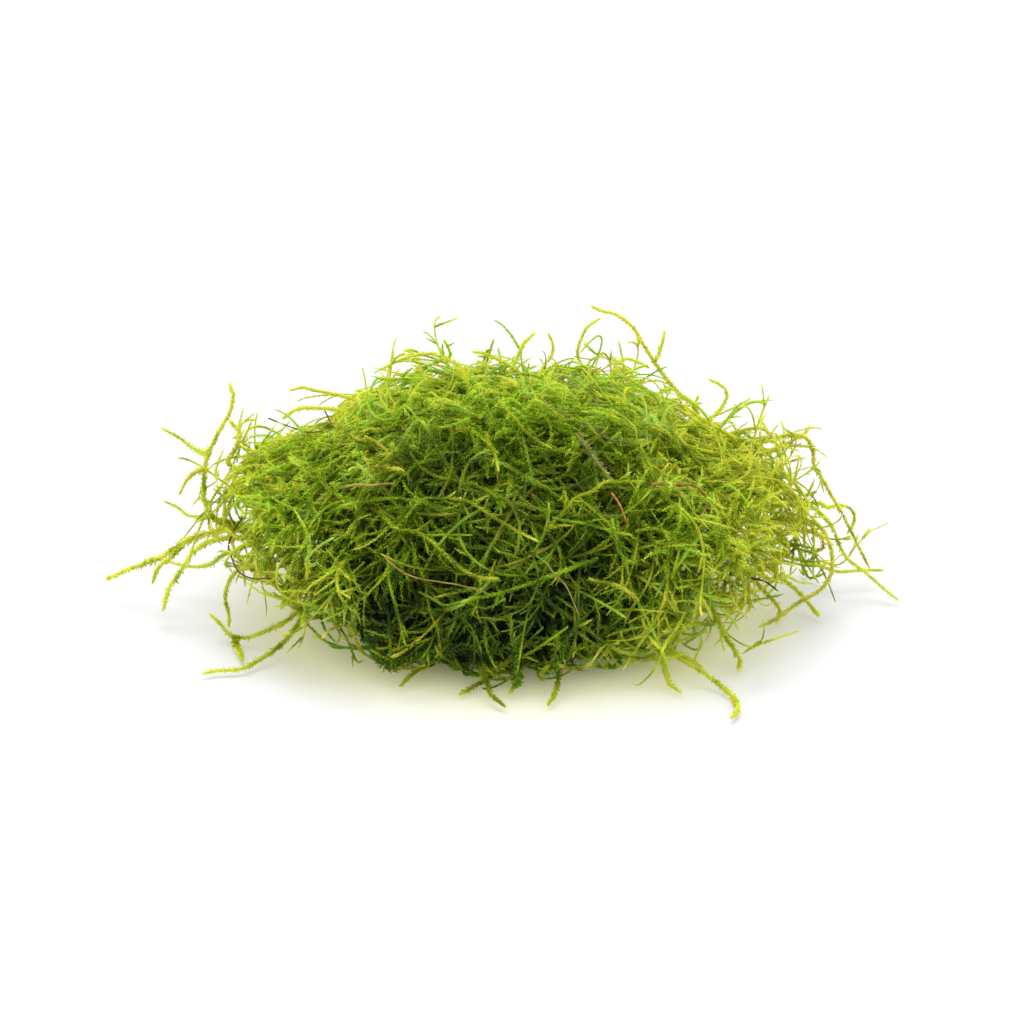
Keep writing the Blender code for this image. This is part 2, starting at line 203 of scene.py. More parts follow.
# the share of each hue: young in the middle, what the ends, the top and the patches add to it, then vivid and
# shaded, where old begins, and dead
hueMix = {"young": 0.14, "atEnds": 0.62, "atTop": 0.20, "inPatch": 0.22, "vivid": 0.42, "shaded": 0.24,
          "oldFrom": 0.955, "dead": 0.0006}


def pickHues(rng, points):
    # mostly young at the ends, patches of vivid green, more of the shaded green, partly painted shade, with
    # depth, a few old and dead
    depth, _ = matDepth(points)
    x, y, z = points[..., 0], points[..., 1], points[..., 2]
    ends, top = endsShare(x, z), topShare(y, z)
    patch = 0.5 + 0.5 * np.sin(x / 6.5 + 0.4 * z / 3.0 + 2.2) * np.cos(y / 7.0 - z / 9.0)
    chance = rng.random(len(points))
    young = hueMix["young"] + hueMix["atEnds"] * ends + hueMix["atTop"] * top + hueMix["inPatch"] * patch
    young = young - 0.03 * np.clip(depth, 0.0, 6.0)
    vivid = young + hueMix["vivid"] - 0.32 * ends
    shaded = vivid + hueMix["shaded"] - 0.08 * ends + 0.03 * np.clip(depth, 0.0, 5.0)
    picked = np.where(chance < young, hues["young"], np.where(chance < vivid, hues["vivid"], hues["shaded"]))
    picked = np.where(chance > np.maximum(shaded, hueMix["oldFrom"]), hues["old"], picked)
    return np.where(rng.random(len(points)) < hueMix["dead"], hues["dead"], picked)


floorClear = 0.7      # lowest height of a shoot's middle, so that its leaves just reach the ground

usualDroop = 0.004    # how much a shoot's heading sinks to the millimetre

# how shoots grow: pull towards the planned depth and its limit, length over which they weave up and down, how
# much of the wavering and of the turn is kept and added at each step, and how they level out on the floor
growth = {"steer": 0.10, "steerLimit": 0.35, "weaveLength": 3.5, "driftKept": 0.9, "driftAdded": 0.4,
          "arcKept": 0.96, "arcAdded": 0.3, "onFloor": 0.3}

# how a side branch differs from its parent: spread of its angle and of its lift off the surface, how far it
# rises towards the surface, and how much it wavers
branching = {"leanSpread": 0.22, "liftSpread": 0.2, "rise": 0.6, "waver": 0.03}


def wander(rng, start, heading, stepLength, steps, depthStart, depthEnd, curve, waver, droop=0.0, weave=0.0):
    # a chain of equal steps per shoot: the heading turns steadily along the surface, wavers about a
    # slowly changing axis, is steered towards a planned depth that rises and falls, and sinks a little
    points = np.empty((len(start), steps + 1, 3))
    points[:, 0] = start
    heading = unit(heading)
    arc = rng.normal(size=(len(start), 1)) * curve
    drift = rng.normal(size=start.shape) * waver
    phase = rng.uniform(0.0, 2.0 * math.pi, len(start))
    for step in range(1, steps + 1):
        depth, outward = matDepth(points[:, step - 1])
        share = (step - 1) / steps
        wanted = depthStart + (depthEnd - depthStart) * share ** 1.5
        wanted = wanted + weave * np.sin(phase + step * stepLength / growth["weaveLength"])
        pull = np.clip((depth - wanted) * growth["steer"], -growth["steerLimit"], growth["steerLimit"])
        steer = pull[:, None] * outward
        drift = growth["driftKept"] * drift + rng.normal(size=drift.shape) * waver * growth["driftAdded"]
        arc = growth["arcKept"] * arc + rng.normal(size=arc.shape) * curve * growth["arcAdded"]
        turn = arc * np.cross(outward, heading) + np.cross(drift, heading) + steer
        turn[:, 2] -= droop
        heading = unit(heading + turn * stepLength)
        points[:, step] = points[:, step - 1] + heading * stepLength
        low = points[:, step, 2] < floorClear
        points[low, step, 2] = floorClear
        heading[low, 2] = np.abs(heading[low, 2]) * growth["onFloor"]
    return points


def branches(rng, parents, every, stepLength, lengths, angle, curve, skip=2, share=1.0):
    # shoots that leave a parent alternately left and right in the plane along the mat's surface, sorted
    # at random into the given numbers of steps
    starts, headings = [], []
    side = np.where(rng.random(len(parents)) < 0.5, -1.0, 1.0)
    for at in range(skip, parents.shape[1] - 2, every):
        tangent = unit(parents[:, at + 1] - parents[:, at - 1])
        _, outward = matDepth(parents[:, at])
        sideways = unit(np.cross(outward, tangent)) * side[:, None]
        lean = angle + rng.normal(size=(len(parents), 1)) * branching["leanSpread"]
        lift = rng.normal(size=(len(parents), 1)) * branching["liftSpread"]
        headings.append(tangent * np.cos(lean) + sideways * np.sin(lean) + outward * lift)
        starts.append(parents[:, at])
        side = -side
    starts, headings = np.concatenate(starts), np.concatenate(headings)
    chosen = rng.permutation(len(starts))[:int(len(starts) * share)]
    made = []
    for rows, steps in zip(np.array_split(chosen, len(lengths)), lengths):
        if len(rows):
            depth, _ = matDepth(starts[rows])
            made.append(wander(rng, starts[rows], headings[rows], stepLength, steps, depth,
                               depth - branching["rise"], curve, branching["waver"], droop=usualDroop))
    return made


def smoothRoute(points, step):
    # points a step apart on a Catmull-Rom curve through a route
    knots = np.array(points, float)
    knots = np.vstack([2 * knots[0] - knots[1], knots, 2 * knots[-1] - knots[-2]])
    t = np.linspace(0.0, 1.0, 16, endpoint=False)[None, :, None]
    before, start, end, after = (knots[i:len(knots) - 3 + i, None, :] for i in range(4))
    fine = 0.5 * (2 * start + (end - before) * t + (2 * before - 5 * start + 4 * end - after) * t ** 2
                  + (3 * start - before - 3 * end + after) * t ** 3)
    fine = np.vstack([fine.reshape(-1, knots.shape[1]), knots[-2]])
    along = np.concatenate([[0.0], np.cumsum(np.linalg.norm(np.diff(fine, axis=0), axis=1))])
    at = np.linspace(0.0, along[-1], max(4, int(round(along[-1] / step)) + 1))
    return np.stack([np.interp(at, along, fine[:, axis]) for axis in range(knots.shape[1])], 1)


def ontoMat(route, lift):
    # a route drawn across and up in the front view, laid on the mat: each line of sight is followed back
    # to where it comes within a lift of the surface, or nearest to it
    drawn = np.array(route, float)
    right = np.array([1.0, 0.0, 0.0])
    up = np.array([0.0, math.sin(view["elevation"]), math.cos(view["elevation"])])
    back = np.array([0.0, -math.cos(view["elevation"]), math.sin(view["elevation"])])
    aim = np.array([0.0, 0.0, view["aimHeight"]])
    eye = aim + back * view["distance"]
    plane = aim + drawn[:, :1] * right + (drawn[:, 1:] - view["aimHeight"] * up[2]) * up
    share = np.linspace(0.86, 1.12, 1600)[None, :, None]
    sight = eye + (plane - eye)[:, None, :] * share
    depth, _ = matDepth(sight)
    level = np.where(sight[..., 2] > floorClear + 0.3, matLevel(sight), 100.0)
    met = (level < 1.5) & (depth < 20.0) & (depth > -lift)
    nearest = np.argmin(level, axis=1)
    hit = np.where(met.any(axis=1), np.argmax(met, axis=1), nearest)
    return sight[np.arange(len(drawn)), hit]


# the kinds of leafy shoot: stem radius, leaf length and width, how far the leaves open, leaves to the
# millimetre, sides of the stem, and whether each leaf is folded along its middle
looseStyle = {"stem": 0.23, "leaf": 0.62, "width": 0.40, "open": math.radians(48), "perMm": 10.0, "sides": 5,
              "folded": True}
ropeStyle = {"stem": 0.25, "leaf": 0.52, "width": 0.32, "open": math.radians(33), "perMm": 12.0, "sides": 4,
             "folded": False}
hiddenStyle = {**ropeStyle, "perMm": 9.0}
frondStyle = {"stem": 0.15, "leaf": 0.50, "width": 0.30, "open": math.radians(36), "perMm": 10.0, "sides": 3,
              "folded": False}
fuzzStyle = {"stem": 0.10, "leaf": 0.58, "width": 0.36, "open": math.radians(46), "perMm": 8.5, "sides": 3,
             "folded": False}
innerStyle = {"stem": 0.40, "leaf": 1.90, "width": 1.40, "open": math.radians(48), "perMm": 3.4, "sides": 3,
              "folded": False}
lowStyle = {**innerStyle, "stem": 0.30, "leaf": 1.00, "width": 0.65, "perMm": 5.5}
goldenAngle = math.radians(137.5)


def between(values, place):
    # values at fractional stations of each path, straight from one station to the next
    rows = np.arange(len(values))[:, None]
    low = np.minimum(place.astype(int), values.shape[1] - 2)
    mix = (place - low)[..., None]
    return values[rows, low] * (1.0 - mix) + values[rows, low + 1] * mix


def pathFrame(rng, path):
    # along the path, and two ways square to it: along the mat's surface and away from it
    _, outward = matDepth(path)
    tangents = unit(np.gradient(path, axis=1))
    sideU = unit(np.cross(outward + rng.normal(size=(len(path), 1, 3)) * 0.25, tangents))
    return tangents, sideU, np.cross(tangents, sideU)


def tubeMesh(path, frame, radius, sides, taper, roundLength, look):
    # a ring of points at each station, its radius falling towards the tip by the taper and along a quarter
    # circle over the last stretch, where a stem of more than three sides has more rings, closed at both ends
    steps = path.shape[1] - 1
    length = np.linalg.norm(np.diff(path, axis=1), axis=2).mean() * steps
    more = roundLength * steps / length * (np.array([1.0, 0.36, 0.07]) if sides > 3 else np.zeros(0))
    place = np.sort(np.concatenate([np.arange(steps), steps - more[more < 0.95], [steps]]))[None]
    place = place + np.zeros((len(path), 1))
    toTip = place / steps
    short = np.clip(1.0 - (1.0 - toTip) * length / roundLength, 0.0, 1.0)
    ringRadius = radius * (1.0 - taper * toTip) * np.sqrt(np.clip(1.0 - short ** 2, 0.004, 1.0))
    angle = np.linspace(0.0, 2.0 * math.pi, sides, endpoint=False)[None, None, :, None]
    middle, u, v = (between(values, place)[:, :, None] for values in (path, frame[1], frame[2]))
    ring = middle + ringRadius[..., None, None] * (np.cos(angle) * u + np.sin(angle) * v)
    across, up = look(place)
    number = np.arange(sides)
    uv = np.stack([across[..., None] + 0.0 * number, up[..., None] + 0.012 * number], -1)
    index = np.arange(ring.size // 3).reshape(ring.shape[:3])
    a, b = index[:, :-1], index[:, 1:]
    aNext, bNext = np.roll(a, -1, axis=2), np.roll(b, -1, axis=2)
    fan = np.arange(1, sides - 1)
    foot = [index[:, 0, :1] + 0 * fan, index[:, 0, fan + 1], index[:, 0, fan]]
    tip = [index[:, -1, :1] + 0 * fan, index[:, -1, fan], index[:, -1, fan + 1]]
    faces = [(a, aNext, bNext), (a, bNext, b), foot, tip]
    triangles = np.concatenate([np.stack(corners, -1).reshape(-1, 3) for corners in faces])
    return ring.reshape(-1, 3), triangles, uv.reshape(-1, 2)


# a leaf's shape as shares of its own length: where it is widest, how far it is hollowed there, and where a
# plain leaf's base lies; then how much the leaves differ in turn, in opening and in lightness
leafShape = {"widest": 0.42, "hollowed": 0.10, "base": 0.12, "turnSpread": 0.35, "openSpread": 0.13,
             "flicker": 0.18}


def leafMesh(rng, path, frame, style, size, taper, look):
    # leaves set along each path a golden angle apart: each is a folded rhombus, or one triangle, from the
    # stem's side to a tip that points forward and outward, wider open at the shoot's two sides than on its
    # face, and each corner has its own small shift in lightness and across the map
    count, steps = len(path), path.shape[1] - 1
    length = np.linalg.norm(np.diff(path, axis=1), axis=2).mean() * steps
    leaves = max(4, int(length * style["perMm"]))
    order = np.arange(leaves)[None, :]
    place = np.clip((order + 0.8 * rng.random((count, leaves))) / leaves * steps, 0.0, steps * 0.997)
    middle, forward, u, v = (between(values, place) for values in (path,) + frame)
    forward = unit(forward)
    turn = (order * goldenAngle + rng.normal(size=(count, leaves)) * leafShape["turnSpread"])[..., None]
    radial = unit(np.cos(turn) * u + np.sin(turn) * v)
    toTip = (place / steps)[..., None]
    nearTip = np.clip((1.0 - toTip) * length / 1.5, 0.0, 1.0)
    thick = size[:, :, None] * (1.0 - taper * toTip)
    scale = thick * (0.75 + 0.5 * rng.random((count, leaves, 1))) * (0.55 + 0.45 * nearTip)
    opening = style["open"] * (0.65 + 0.5 * np.abs(np.cos(turn))) * (0.35 + 0.65 * nearTip)
    opening = opening + rng.normal(size=(count, leaves, 1)) * leafShape["openSpread"]
    direction = np.cos(opening) * forward + np.sin(opening) * radial
    reach = style["leaf"] * scale
    root = middle + radial * style["stem"] * thick * 0.75
    belly = root + direction * reach * leafShape["widest"] - radial * reach * leafShape["hollowed"]
    half = np.cross(forward, radial) * style["width"] * 0.5 * scale
    if style["folded"]:
        corners = [root, belly + half, root + direction * reach, belly - half]
        faces, lighter = [[0, 2, 1], [0, 3, 2]], [-0.12, 0.02, 0.12, -0.03]
        aside = [-0.004, 0.0, 0.004, 0.0]
    else:
        base = root + direction * reach * leafShape["base"]
        corners = [base - half, root + direction * reach, base + half]
        faces, lighter, aside = [[0, 1, 2]], [-0.06, 0.09, -0.02], [-0.004, 0.004, 0.0]
    blade = np.stack(corners, 2)
    across, up = look(place)
    flicker = leafShape["flicker"] * (rng.random((count, leaves, 1)) - 0.5)
    uv = np.stack([across[..., None] + np.array(aside), up[..., None] + flicker + np.array(lighter)], -1)
    first = np.arange(count * leaves)[:, None] * len(corners)
    return blade.reshape(-1, 3), np.concatenate([first + face for face in faces]), uv.reshape(-1, 2)


def perPath(value, path):
    # one value for each path, as a column
    return np.broadcast_to(np.asarray(value, float), (len(path),))[:, None]


oldStemShare = 0.2    # share of the shoots whose stem has an old shoot's hue


def leafyShoots(rng, path, style, size, hue, tone=0.0, taper=0.3, tipLight=0.16):
    # stems with their leaves, and where each point lies on the shoots' map: hue and age across, from the
    # foot to the tip, and lightness up, with painted light and shade from the place in the mat
    steps = path.shape[1] - 1
    length = np.linalg.norm(np.diff(path, axis=1), axis=2).mean() * steps
    size, hue, tone = (perPath(value, path) for value in (size, hue, tone))
    frame = pathFrame(rng, path)
    light = (leafLight(path, matDepth(path)[0]) + tone)[..., None]
    oldStem = np.where(rng.random((len(path), 1)) < oldStemShare, hues["old"], hue)

    def leafLook(place):
        # across by hue and by the share of the way to the tip, up by lightness, paler over the last 2.2 mm
        age = place / steps
        pale = tipLight * smoothStep(age * length, length - 2.2, length)
        return (hue + 0.08 + 0.84 * age) / len(hues), between(light, place)[..., 0] + pale

    def stemLook(place):
        # as the leaves a quarter of the length nearer the foot, a little darker, and for some in the old hue
        age = np.clip(place / steps - 0.25, 0.0, 1.0)
        _, up = leafLook(place)
        return (oldStem + 0.08 + 0.84 * age) / len(hues), up - 0.14

    roundLength = 0.45 * size.mean()
    return [tubeMesh(path, frame, style["stem"] * size, style["sides"], taper, roundLength, stemLook),
            leafMesh(rng, path, frame, style, size, taper, leafLook)]


shootMap = "OFBake"   # the UV map of every shoot and stem


def makePiece(name, parts, material, slot, *nodes):
    # several meshes as one object: vertices end to end, triangle numbers shifted by those before
    shifts = np.cumsum([0] + [len(part[0]) for part in parts[:-1]])
    verts = np.concatenate([part[0] for part in parts])
    triangles = np.concatenate([part[1] + shift for part, shift in zip(parts, shifts)])
    uvs = np.clip(np.concatenate([part[2] for part in parts]), 0.004, 0.996)
    mesh = bpy.data.meshes.new(name)
    mesh.vertices.add(len(verts))
    mesh.vertices.foreach_set("co", (verts * mm).astype(np.float32).ravel())
    mesh.loops.add(triangles.size)
    mesh.loops.foreach_set("vertex_index", triangles.astype(np.int32).ravel())
    mesh.polygons.add(len(triangles))
    mesh.polygons.foreach_set("loop_start", np.arange(0, triangles.size, 3, dtype=np.int32))
    mesh.update(calc_edges=True)
    layer = mesh.uv_layers.new(name=shootMap)
    layer.data.foreach_set("uv", uvs[triangles.ravel()].astype(np.float32).ravel())
    mesh.polygons.foreach_set("use_smooth", np.ones(len(triangles), bool))
    mesh.materials.append(material)
    piece = bpy.data.objects.new(name, mesh)
    bpy.context.scene.collection.objects.link(piece)
    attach(piece, "root")
    for node in nodes:
        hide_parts(node)
    print("made", name, len(triangles), "triangles")
    return len(triangles)


class Wire:
    # an output socket that Python's operators work on, each adding its Math node
    def __init__(self, tree, socket):
        self.tree, self.socket = tree, socket

    def node(self, kind, settings=None, inputs=None, output=0):
        # any node: its settings first, with a ramp's stops, then the value or the link of each socket
        made = self.tree.nodes.new(kind)
        for key, value in (settings or {}).items():
            if key == "stops":
                ramp = made.color_ramp
                while len(ramp.elements) < len(value):
                    ramp.elements.new(0.5)
                for element, (place, colour) in zip(ramp.elements, value):
                    element.position = place
                    element.color = (*colour, 1.0)
            else:
                setattr(made, key, value)
        for key, value in (inputs or {}).items():
            if isinstance(value, Wire):
                self.tree.links.new(value.socket, made.inputs[key])
            else:
                made.inputs[key].default_value = value
        return Wire(self.tree, made.outputs[output]) if made.outputs else None

    def calc(self, operation, a, b):
        # one Math node on two values or wires
        return self.node("ShaderNodeMath", {"operation": operation}, {0: a, 1: b})

    def __add__(self, other):
        return self.calc("ADD", self, other)

    def __sub__(self, other):
        return self.calc("SUBTRACT", self, other)

    def __rsub__(self, other):
        return self.calc("SUBTRACT", other, self)

    def __mul__(self, other):
        return self.calc("MULTIPLY", self, other)

    def __gt__(self, other):
        return self.calc("GREATER_THAN", self, other)

    __radd__ = __add__
    __rmul__ = __mul__

    def blend(self, factor, a, b, mode="MIX"):
        # one Mix node on two colours
        settings = {"data_type": "RGBA", "blend_type": mode}
        return self.node("ShaderNodeMix", settings, {0: factor, 6: a, 7: b}, output=2)


def newTree(name):
    # an empty material, and a wire to make its nodes with
    material = bpy.data.materials.new(name)
    material.use_nodes = True
    tree = material.node_tree
    tree.nodes.clear()
    return material, Wire(tree, None)


# what a user would change about the moss: its greens and its dead browns from dark to light, the tint of each
# hue from its old foot to its young tip, the grain, how dull dark and light leaves are, their shine, and how
# much light comes through them
mossLook = {
    "greens": [(0.0, (0.060, 0.082, 0.062)), (0.22, (0.092, 0.132, 0.040)), (0.45, (0.195, 0.260, 0.032)),
               (0.70, (0.430, 0.515, 0.045)), (1.0, (0.770, 0.810, 0.180))],
    "dead": [(0.0, (0.050, 0.040, 0.014)), (0.5, (0.165, 0.160, 0.062)), (1.0, (0.410, 0.415, 0.235))],
    "tints": {"young": ((0.82, 0.86, 0.34), (1.00, 0.99, 0.48)),
              "vivid": ((0.61, 0.85, 0.30), (0.81, 0.98, 0.40)),
              "shaded": ((0.56, 0.76, 0.64), (0.72, 0.91, 0.70)),
              "old": ((0.92, 0.76, 0.50), (1.00, 0.93, 0.66)),
              "dead": ((1.00, 1.00, 1.00), (1.00, 1.00, 1.00))},
    "grainScale": 240.0, "grain": 0.18, "roughGrain": 0.15,
    "roughness": (0.65, 0.50), "shine": 0.07, "seeThrough": 0.52,
}


def mossMaterial(name):
    # colour from the shoot's own map: the column gives the hue and its age, and the height, with a fine grain
    # added, the lightness, which carries the painted light and shade
    material, make = newTree(name)
    place = make.node("ShaderNodeUVMap", {"uv_map": shootMap})
    across = make.node("ShaderNodeSeparateXYZ", None, {0: place}, "X")
    height = make.node("ShaderNodeSeparateXYZ", None, {0: place}, "Y")
    grain = make.node("ShaderNodeTexNoise", {"noise_dimensions": "2D"},
                      {"Vector": place, "Scale": mossLook["grainScale"], "Detail": 1.0})
    light = height + (grain - 0.5) * mossLook["grain"]
    green = make.node("ShaderNodeValToRGB", {"stops": mossLook["greens"]}, {0: light})
    tintStops = []
    for hue, column in hues.items():
        foot, tip = mossLook["tints"][hue]
        tintStops += [((column + 0.06) / len(hues), foot), ((column + 0.94) / len(hues), tip)]
    tint = make.node("ShaderNodeValToRGB", {"stops": tintStops}, {0: across})
    green = make.blend(1.0, green, tint, "MULTIPLY")
    dead = make.node("ShaderNodeValToRGB", {"stops": mossLook["dead"]}, {0: light})
    colour = make.blend(across > hues["dead"] / len(hues), green, dead)
    dull, shiny = mossLook["roughness"]
    rough = dull + height * (shiny - dull) + (grain - 0.5) * mossLook["roughGrain"]
    surface = make.node("ShaderNodeBsdfPrincipled", None, {"Base Color": colour, "Roughness": rough,
                                                           "Specular IOR Level": mossLook["shine"]})
    through = make.node("ShaderNodeBsdfTranslucent", None, {"Color": colour})
    mixed = make.node("ShaderNodeMixShader", None, {0: mossLook["seeThrough"], 1: surface, 2: through})
    make.node("ShaderNodeOutputMaterial", None, {"Surface": mixed})
    return material


mossGreen = mossMaterial("mossGreen")
print("moss material made")


# what a user would change in each part of the mat: azimuth from and to in degrees, share of the plan radius
# from and to, how far out the filling shoots reach, number of outer, of deeper and of fine feathery shoots,
# share of the outer ones that hang loose as lace and how far it hangs out, bend and thickness of the thick
# shoots, and the usual values that are different here
usualRegion = {
    "under": False,             # on the underside
    "fill": 1.0,
    "outward": 0.6,             # how strongly the shoots run outward
    "flat": 1.0,                # how closely they keep to the surface
    "twigs": 0.5,               # share of the places for side branches that are taken
    "fuzzDepth": (0.5, 4.5),    # depth under the surface that the feathery shoots grow towards
    "ropeTone": 0.0,            # how much lighter the thick shoots are
}

# what both thin ends have in common
lacyEnd = {"share": (0.50, 0.98), "outer": 44, "deeper": 10, "lace": 0.75, "outward": 1.4, "flat": 0.3,
           "twigs": 0.45, "bend": 0.09, "size": (0.45, 1.0)}
regions = {
    "crown_shoots": {"azimuth": (0, 360), "share": (0.0, 0.64), "fill": 0.64, "outer": 48, "deeper": 34,
                     "fuzz": 800, "lace": 0.50, "reach": 3.5, "outward": 0.5, "bend": 0.085,
                     "size": (0.5, 1.05)},
    "front_shoots": {"azimuth": (208, 332), "share": (0.60, 1.0), "outer": 58, "deeper": 58, "fuzz": 640,
                     "lace": 0.03, "reach": 3.0, "bend": 0.050, "size": (0.55, 1.3), "fuzzDepth": (2.2, 6.0),
                     "ropeTone": 0.06},
    "right_shoots": {**lacyEnd, "azimuth": (-34, 34), "fill": 0.72, "fuzz": 240, "reach": 8.0},
    "left_shoots": {**lacyEnd, "azimuth": (146, 214), "fill": 0.75, "fuzz": 250, "reach": 6.0},
    "back_shoots": {"azimuth": (28, 152), "share": (0.60, 1.0), "outer": 66, "deeper": 44, "fuzz": 540,
                    "lace": 0.15, "reach": 3.0, "bend": 0.06, "size": (0.55, 1.2), "fuzzDepth": (1.0, 5.0)},
    "under_shoots": {"azimuth": (0, 360), "share": (0.35, 0.80), "fill": 0.75, "under": True, "outer": 38,
                     "deeper": 12, "fuzz": 260, "lace": 0.05, "reach": 2.0, "twigs": 0.4, "bend": 0.06,
                     "size": (0.75, 1.0)},
    "fringe_shoots": {"azimuth": (15, 165), "share": (0.25, 0.72), "fill": 0.7, "outer": 48, "deeper": 0,
                      "fuzz": 40, "lace": 1.0, "reach": 3.4, "outward": 0.5, "flat": 0.7, "bend": 0.13,
                      "size": (0.5, 0.85), "fuzzDepth": (-2.0, 0.5), "ropeTone": 0.06},
}

# the same in every part of the mat: depth under the surface from and to of the two layers of thick shoots,
# how much deeper a shoot starts, steps of the thick shoots and of their side branches, how far the shoots
# weave up and down, and how much they differ in lightness
layers = {"outer": (0.4, 2.0), "deeper": (2.0, 6.5)}
startsDeeper = (0.5, 3.0)
ropeSteps = (17, 25, 36)
twigSteps = (3, 5, 9)
weaveDepth = 0.7
ropeToneSpread = 0.10
toneSpread = 0.08

# where the filling shoots thin out, over which stretch, and which share of them is left out there
thinning = {
    "ends": 0.9, "rightEnd": (25.0, 36.0), "leftEnd": (32.0, 42.0),
    "edge": 0.6, "edgeAt": -20.0, "edgeWidth": 9.0, "edgeBack": (0.0, 10.0), "edgeUp": (22.0, 28.0),
    "low": 0.8, "lowLeft": (22.0, 32.0), "lowRight": (20.0, 30.0), "lowUp": (8.0, 13.0),
}


def kept(rng, points):
    # fewer of the filling shoots at both thin ends, low down near them and along the upper left edge,
    # where the mat is lace
    x, y, z = points[..., 0], points[..., 1], points[..., 2]
    thin = np.maximum(smoothStep(x, *thinning["rightEnd"]), smoothStep(-x, *thinning["leftEnd"]))
    thin = thin * thinning["ends"]
    edge = thinning["edge"] * np.exp(-((x - thinning["edgeAt"]) / thinning["edgeWidth"]) ** 2)
    edge = edge * smoothStep(y, *thinning["edgeBack"]) * smoothStep(z, *thinning["edgeUp"])
    low = np.maximum(smoothStep(-x, *thinning["lowLeft"]), smoothStep(x, *thinning["lowRight"]))
    low = thinning["low"] * low * (1.0 - smoothStep(z, *thinning["lowUp"]))
    return rng.random(len(points)) > np.maximum(np.maximum(thin, edge), low)


def scattered(rng, plan, layer):
    # starts spread evenly over the plan and inside the mat, headings outward and round along its surface, and
    # depths of start and end
    count = plan[layer]
    azimuth = np.radians(rng.uniform(*plan["azimuth"], count))
    low, high = plan["share"]
    high = high if layer == "outer" else plan["fill"]
    share = np.sqrt(rng.uniform(low ** 2, high ** 2, count)) * 0.97
    surface = matSurface(azimuth, share, plan["under"])
    _, outward = matDepth(surface)
    aim = rng.uniform(*layers.get(layer, plan["fuzzDepth"]), count)
    inset = aim + rng.uniform(*startsDeeper, count)
    away = np.stack([np.cos(azimuth), np.sin(azimuth), -0.25 + 0.0 * azimuth], -1)
    around = np.stack([-np.sin(azimuth), np.cos(azimuth), 0.0 * azimuth], -1)
    flow = away * plan["outward"] + around * rng.normal(size=(count, 1)) + rng.normal(size=(count, 3)) * 0.45
    heading = flow - (flow * outward).sum(-1, keepdims=True) * outward * plan["flat"]
    chosen = (layer == "outer") | kept(rng, surface)
    return (surface - outward * inset[:, None])[chosen], heading[chosen], inset[chosen], aim[chosen]


def matRegion(name, plan, seed):
    # shoots start inside the mat and flow outward and round along its surface, each with side branches,
    # over fine feathery shoots that fill the gaps between them
    rng = np.random.default_rng(seed)
    parts = []
    for layer, style in {"outer": ropeStyle, "deeper": hiddenStyle}.items():
        start, heading, inset, aim = scattered(rng, plan, layer)
        count = len(start)
        if not count:
            continue
        if layer == "outer":
            loose = rng.uniform(-plan["reach"], -0.8, count)
            aim = np.where(rng.random(count) < plan["lace"], loose, aim - 0.9)
        for rows, steps in zip(np.array_split(np.arange(count), len(ropeSteps)), ropeSteps):
            mains = wander(rng, start[rows], heading[rows], 1.0, steps, inset[rows], aim[rows], plan["bend"],
                           0.02, droop=usualDroop, weave=weaveDepth)
            hue = pickHues(rng, mains[:, steps // 2])
            tone = rng.normal(size=len(rows)) * ropeToneSpread + plan["ropeTone"]
            parts.extend(leafyShoots(rng, mains, style, rng.uniform(*plan["size"], len(rows)), hue, tone))
            for twigs in branches(rng, mains, 2, 0.8, twigSteps, 0.8, 0.09, skip=3, share=plan["twigs"]):
                hue = pickHues(rng, twigs[:, 2])
                tone = rng.normal(size=len(twigs)) * toneSpread
                size = rng.uniform(0.75, 1.15, len(twigs))
                parts.extend(leafyShoots(rng, twigs, frondStyle, size, hue, tone))
    start, heading, inset, aim = scattered(rng, plan, "fuzz")
    feathers = wander(rng, start, heading, 1.7, 6, inset, aim, 0.08, 0.04, weave=weaveDepth)
    hue = pickHues(rng, feathers[:, 3])
    tone = rng.normal(size=len(start)) * toneSpread - 0.02
    parts.extend(leafyShoots(rng, feathers, fuzzStyle, rng.uniform(0.8, 1.2, len(start)), hue, tone))
    return makePiece(name, parts, mossGreen, "moss_mat", "tangled_mat")


total = 0
for number, (name, plan) in enumerate(regions.items()):
    total += matRegion(name, {**usualRegion, **plan}, 11 + number)


# the older shoots inside, one lot that fills the middle of the mound and one low over the underside: style,
# number, share of the plan that they cover, share of the height from and to, and depth that they run at
innerLots = [(innerStyle, 150, 0.55, (0.15, 0.8), 9.0), (lowStyle, 130, 0.80, (0.10, 0.3), 3.0)]


def innerShoots():
    # dark shoots with broad leaves, spread evenly over the plan and between top and bottom, nearly level
    rng = np.random.default_rng(21)
    parts = []
    for style, count, reach, heights, depth in innerLots:
        azimuth = rng.uniform(0.0, 2.0 * math.pi, count)
        share = np.sqrt(rng.uniform(0.0, reach, count))
        top = matSurface(azimuth, share, False)
        bottom = matSurface(azimuth, share, True)
        start = bottom + (top - bottom) * rng.uniform(*heights, (count, 1))
        start = start[kept(rng, start)]
        count = len(start)
        level = rng.normal(size=(count, 3)) * np.array([1.0, 1.0, 0.2])
        mains = wander(rng, start, level, 2.2, 13, depth + 1.5, depth, 0.05, 0.02)
        hue = np.where(rng.random(count) < 0.7, hues["shaded"], hues["old"])
        # darker hues and 0.08 less lightness: old growth, and painted shade deep inside the mound
        parts.extend(leafyShoots(rng, mains, style, rng.uniform(0.9, 1.2, count), hue, -0.08, tipLight=0.0))
    return makePiece("inner_shoots", parts, mossGreen, "moss_mat", "tangled_mat")


total += innerShoots()


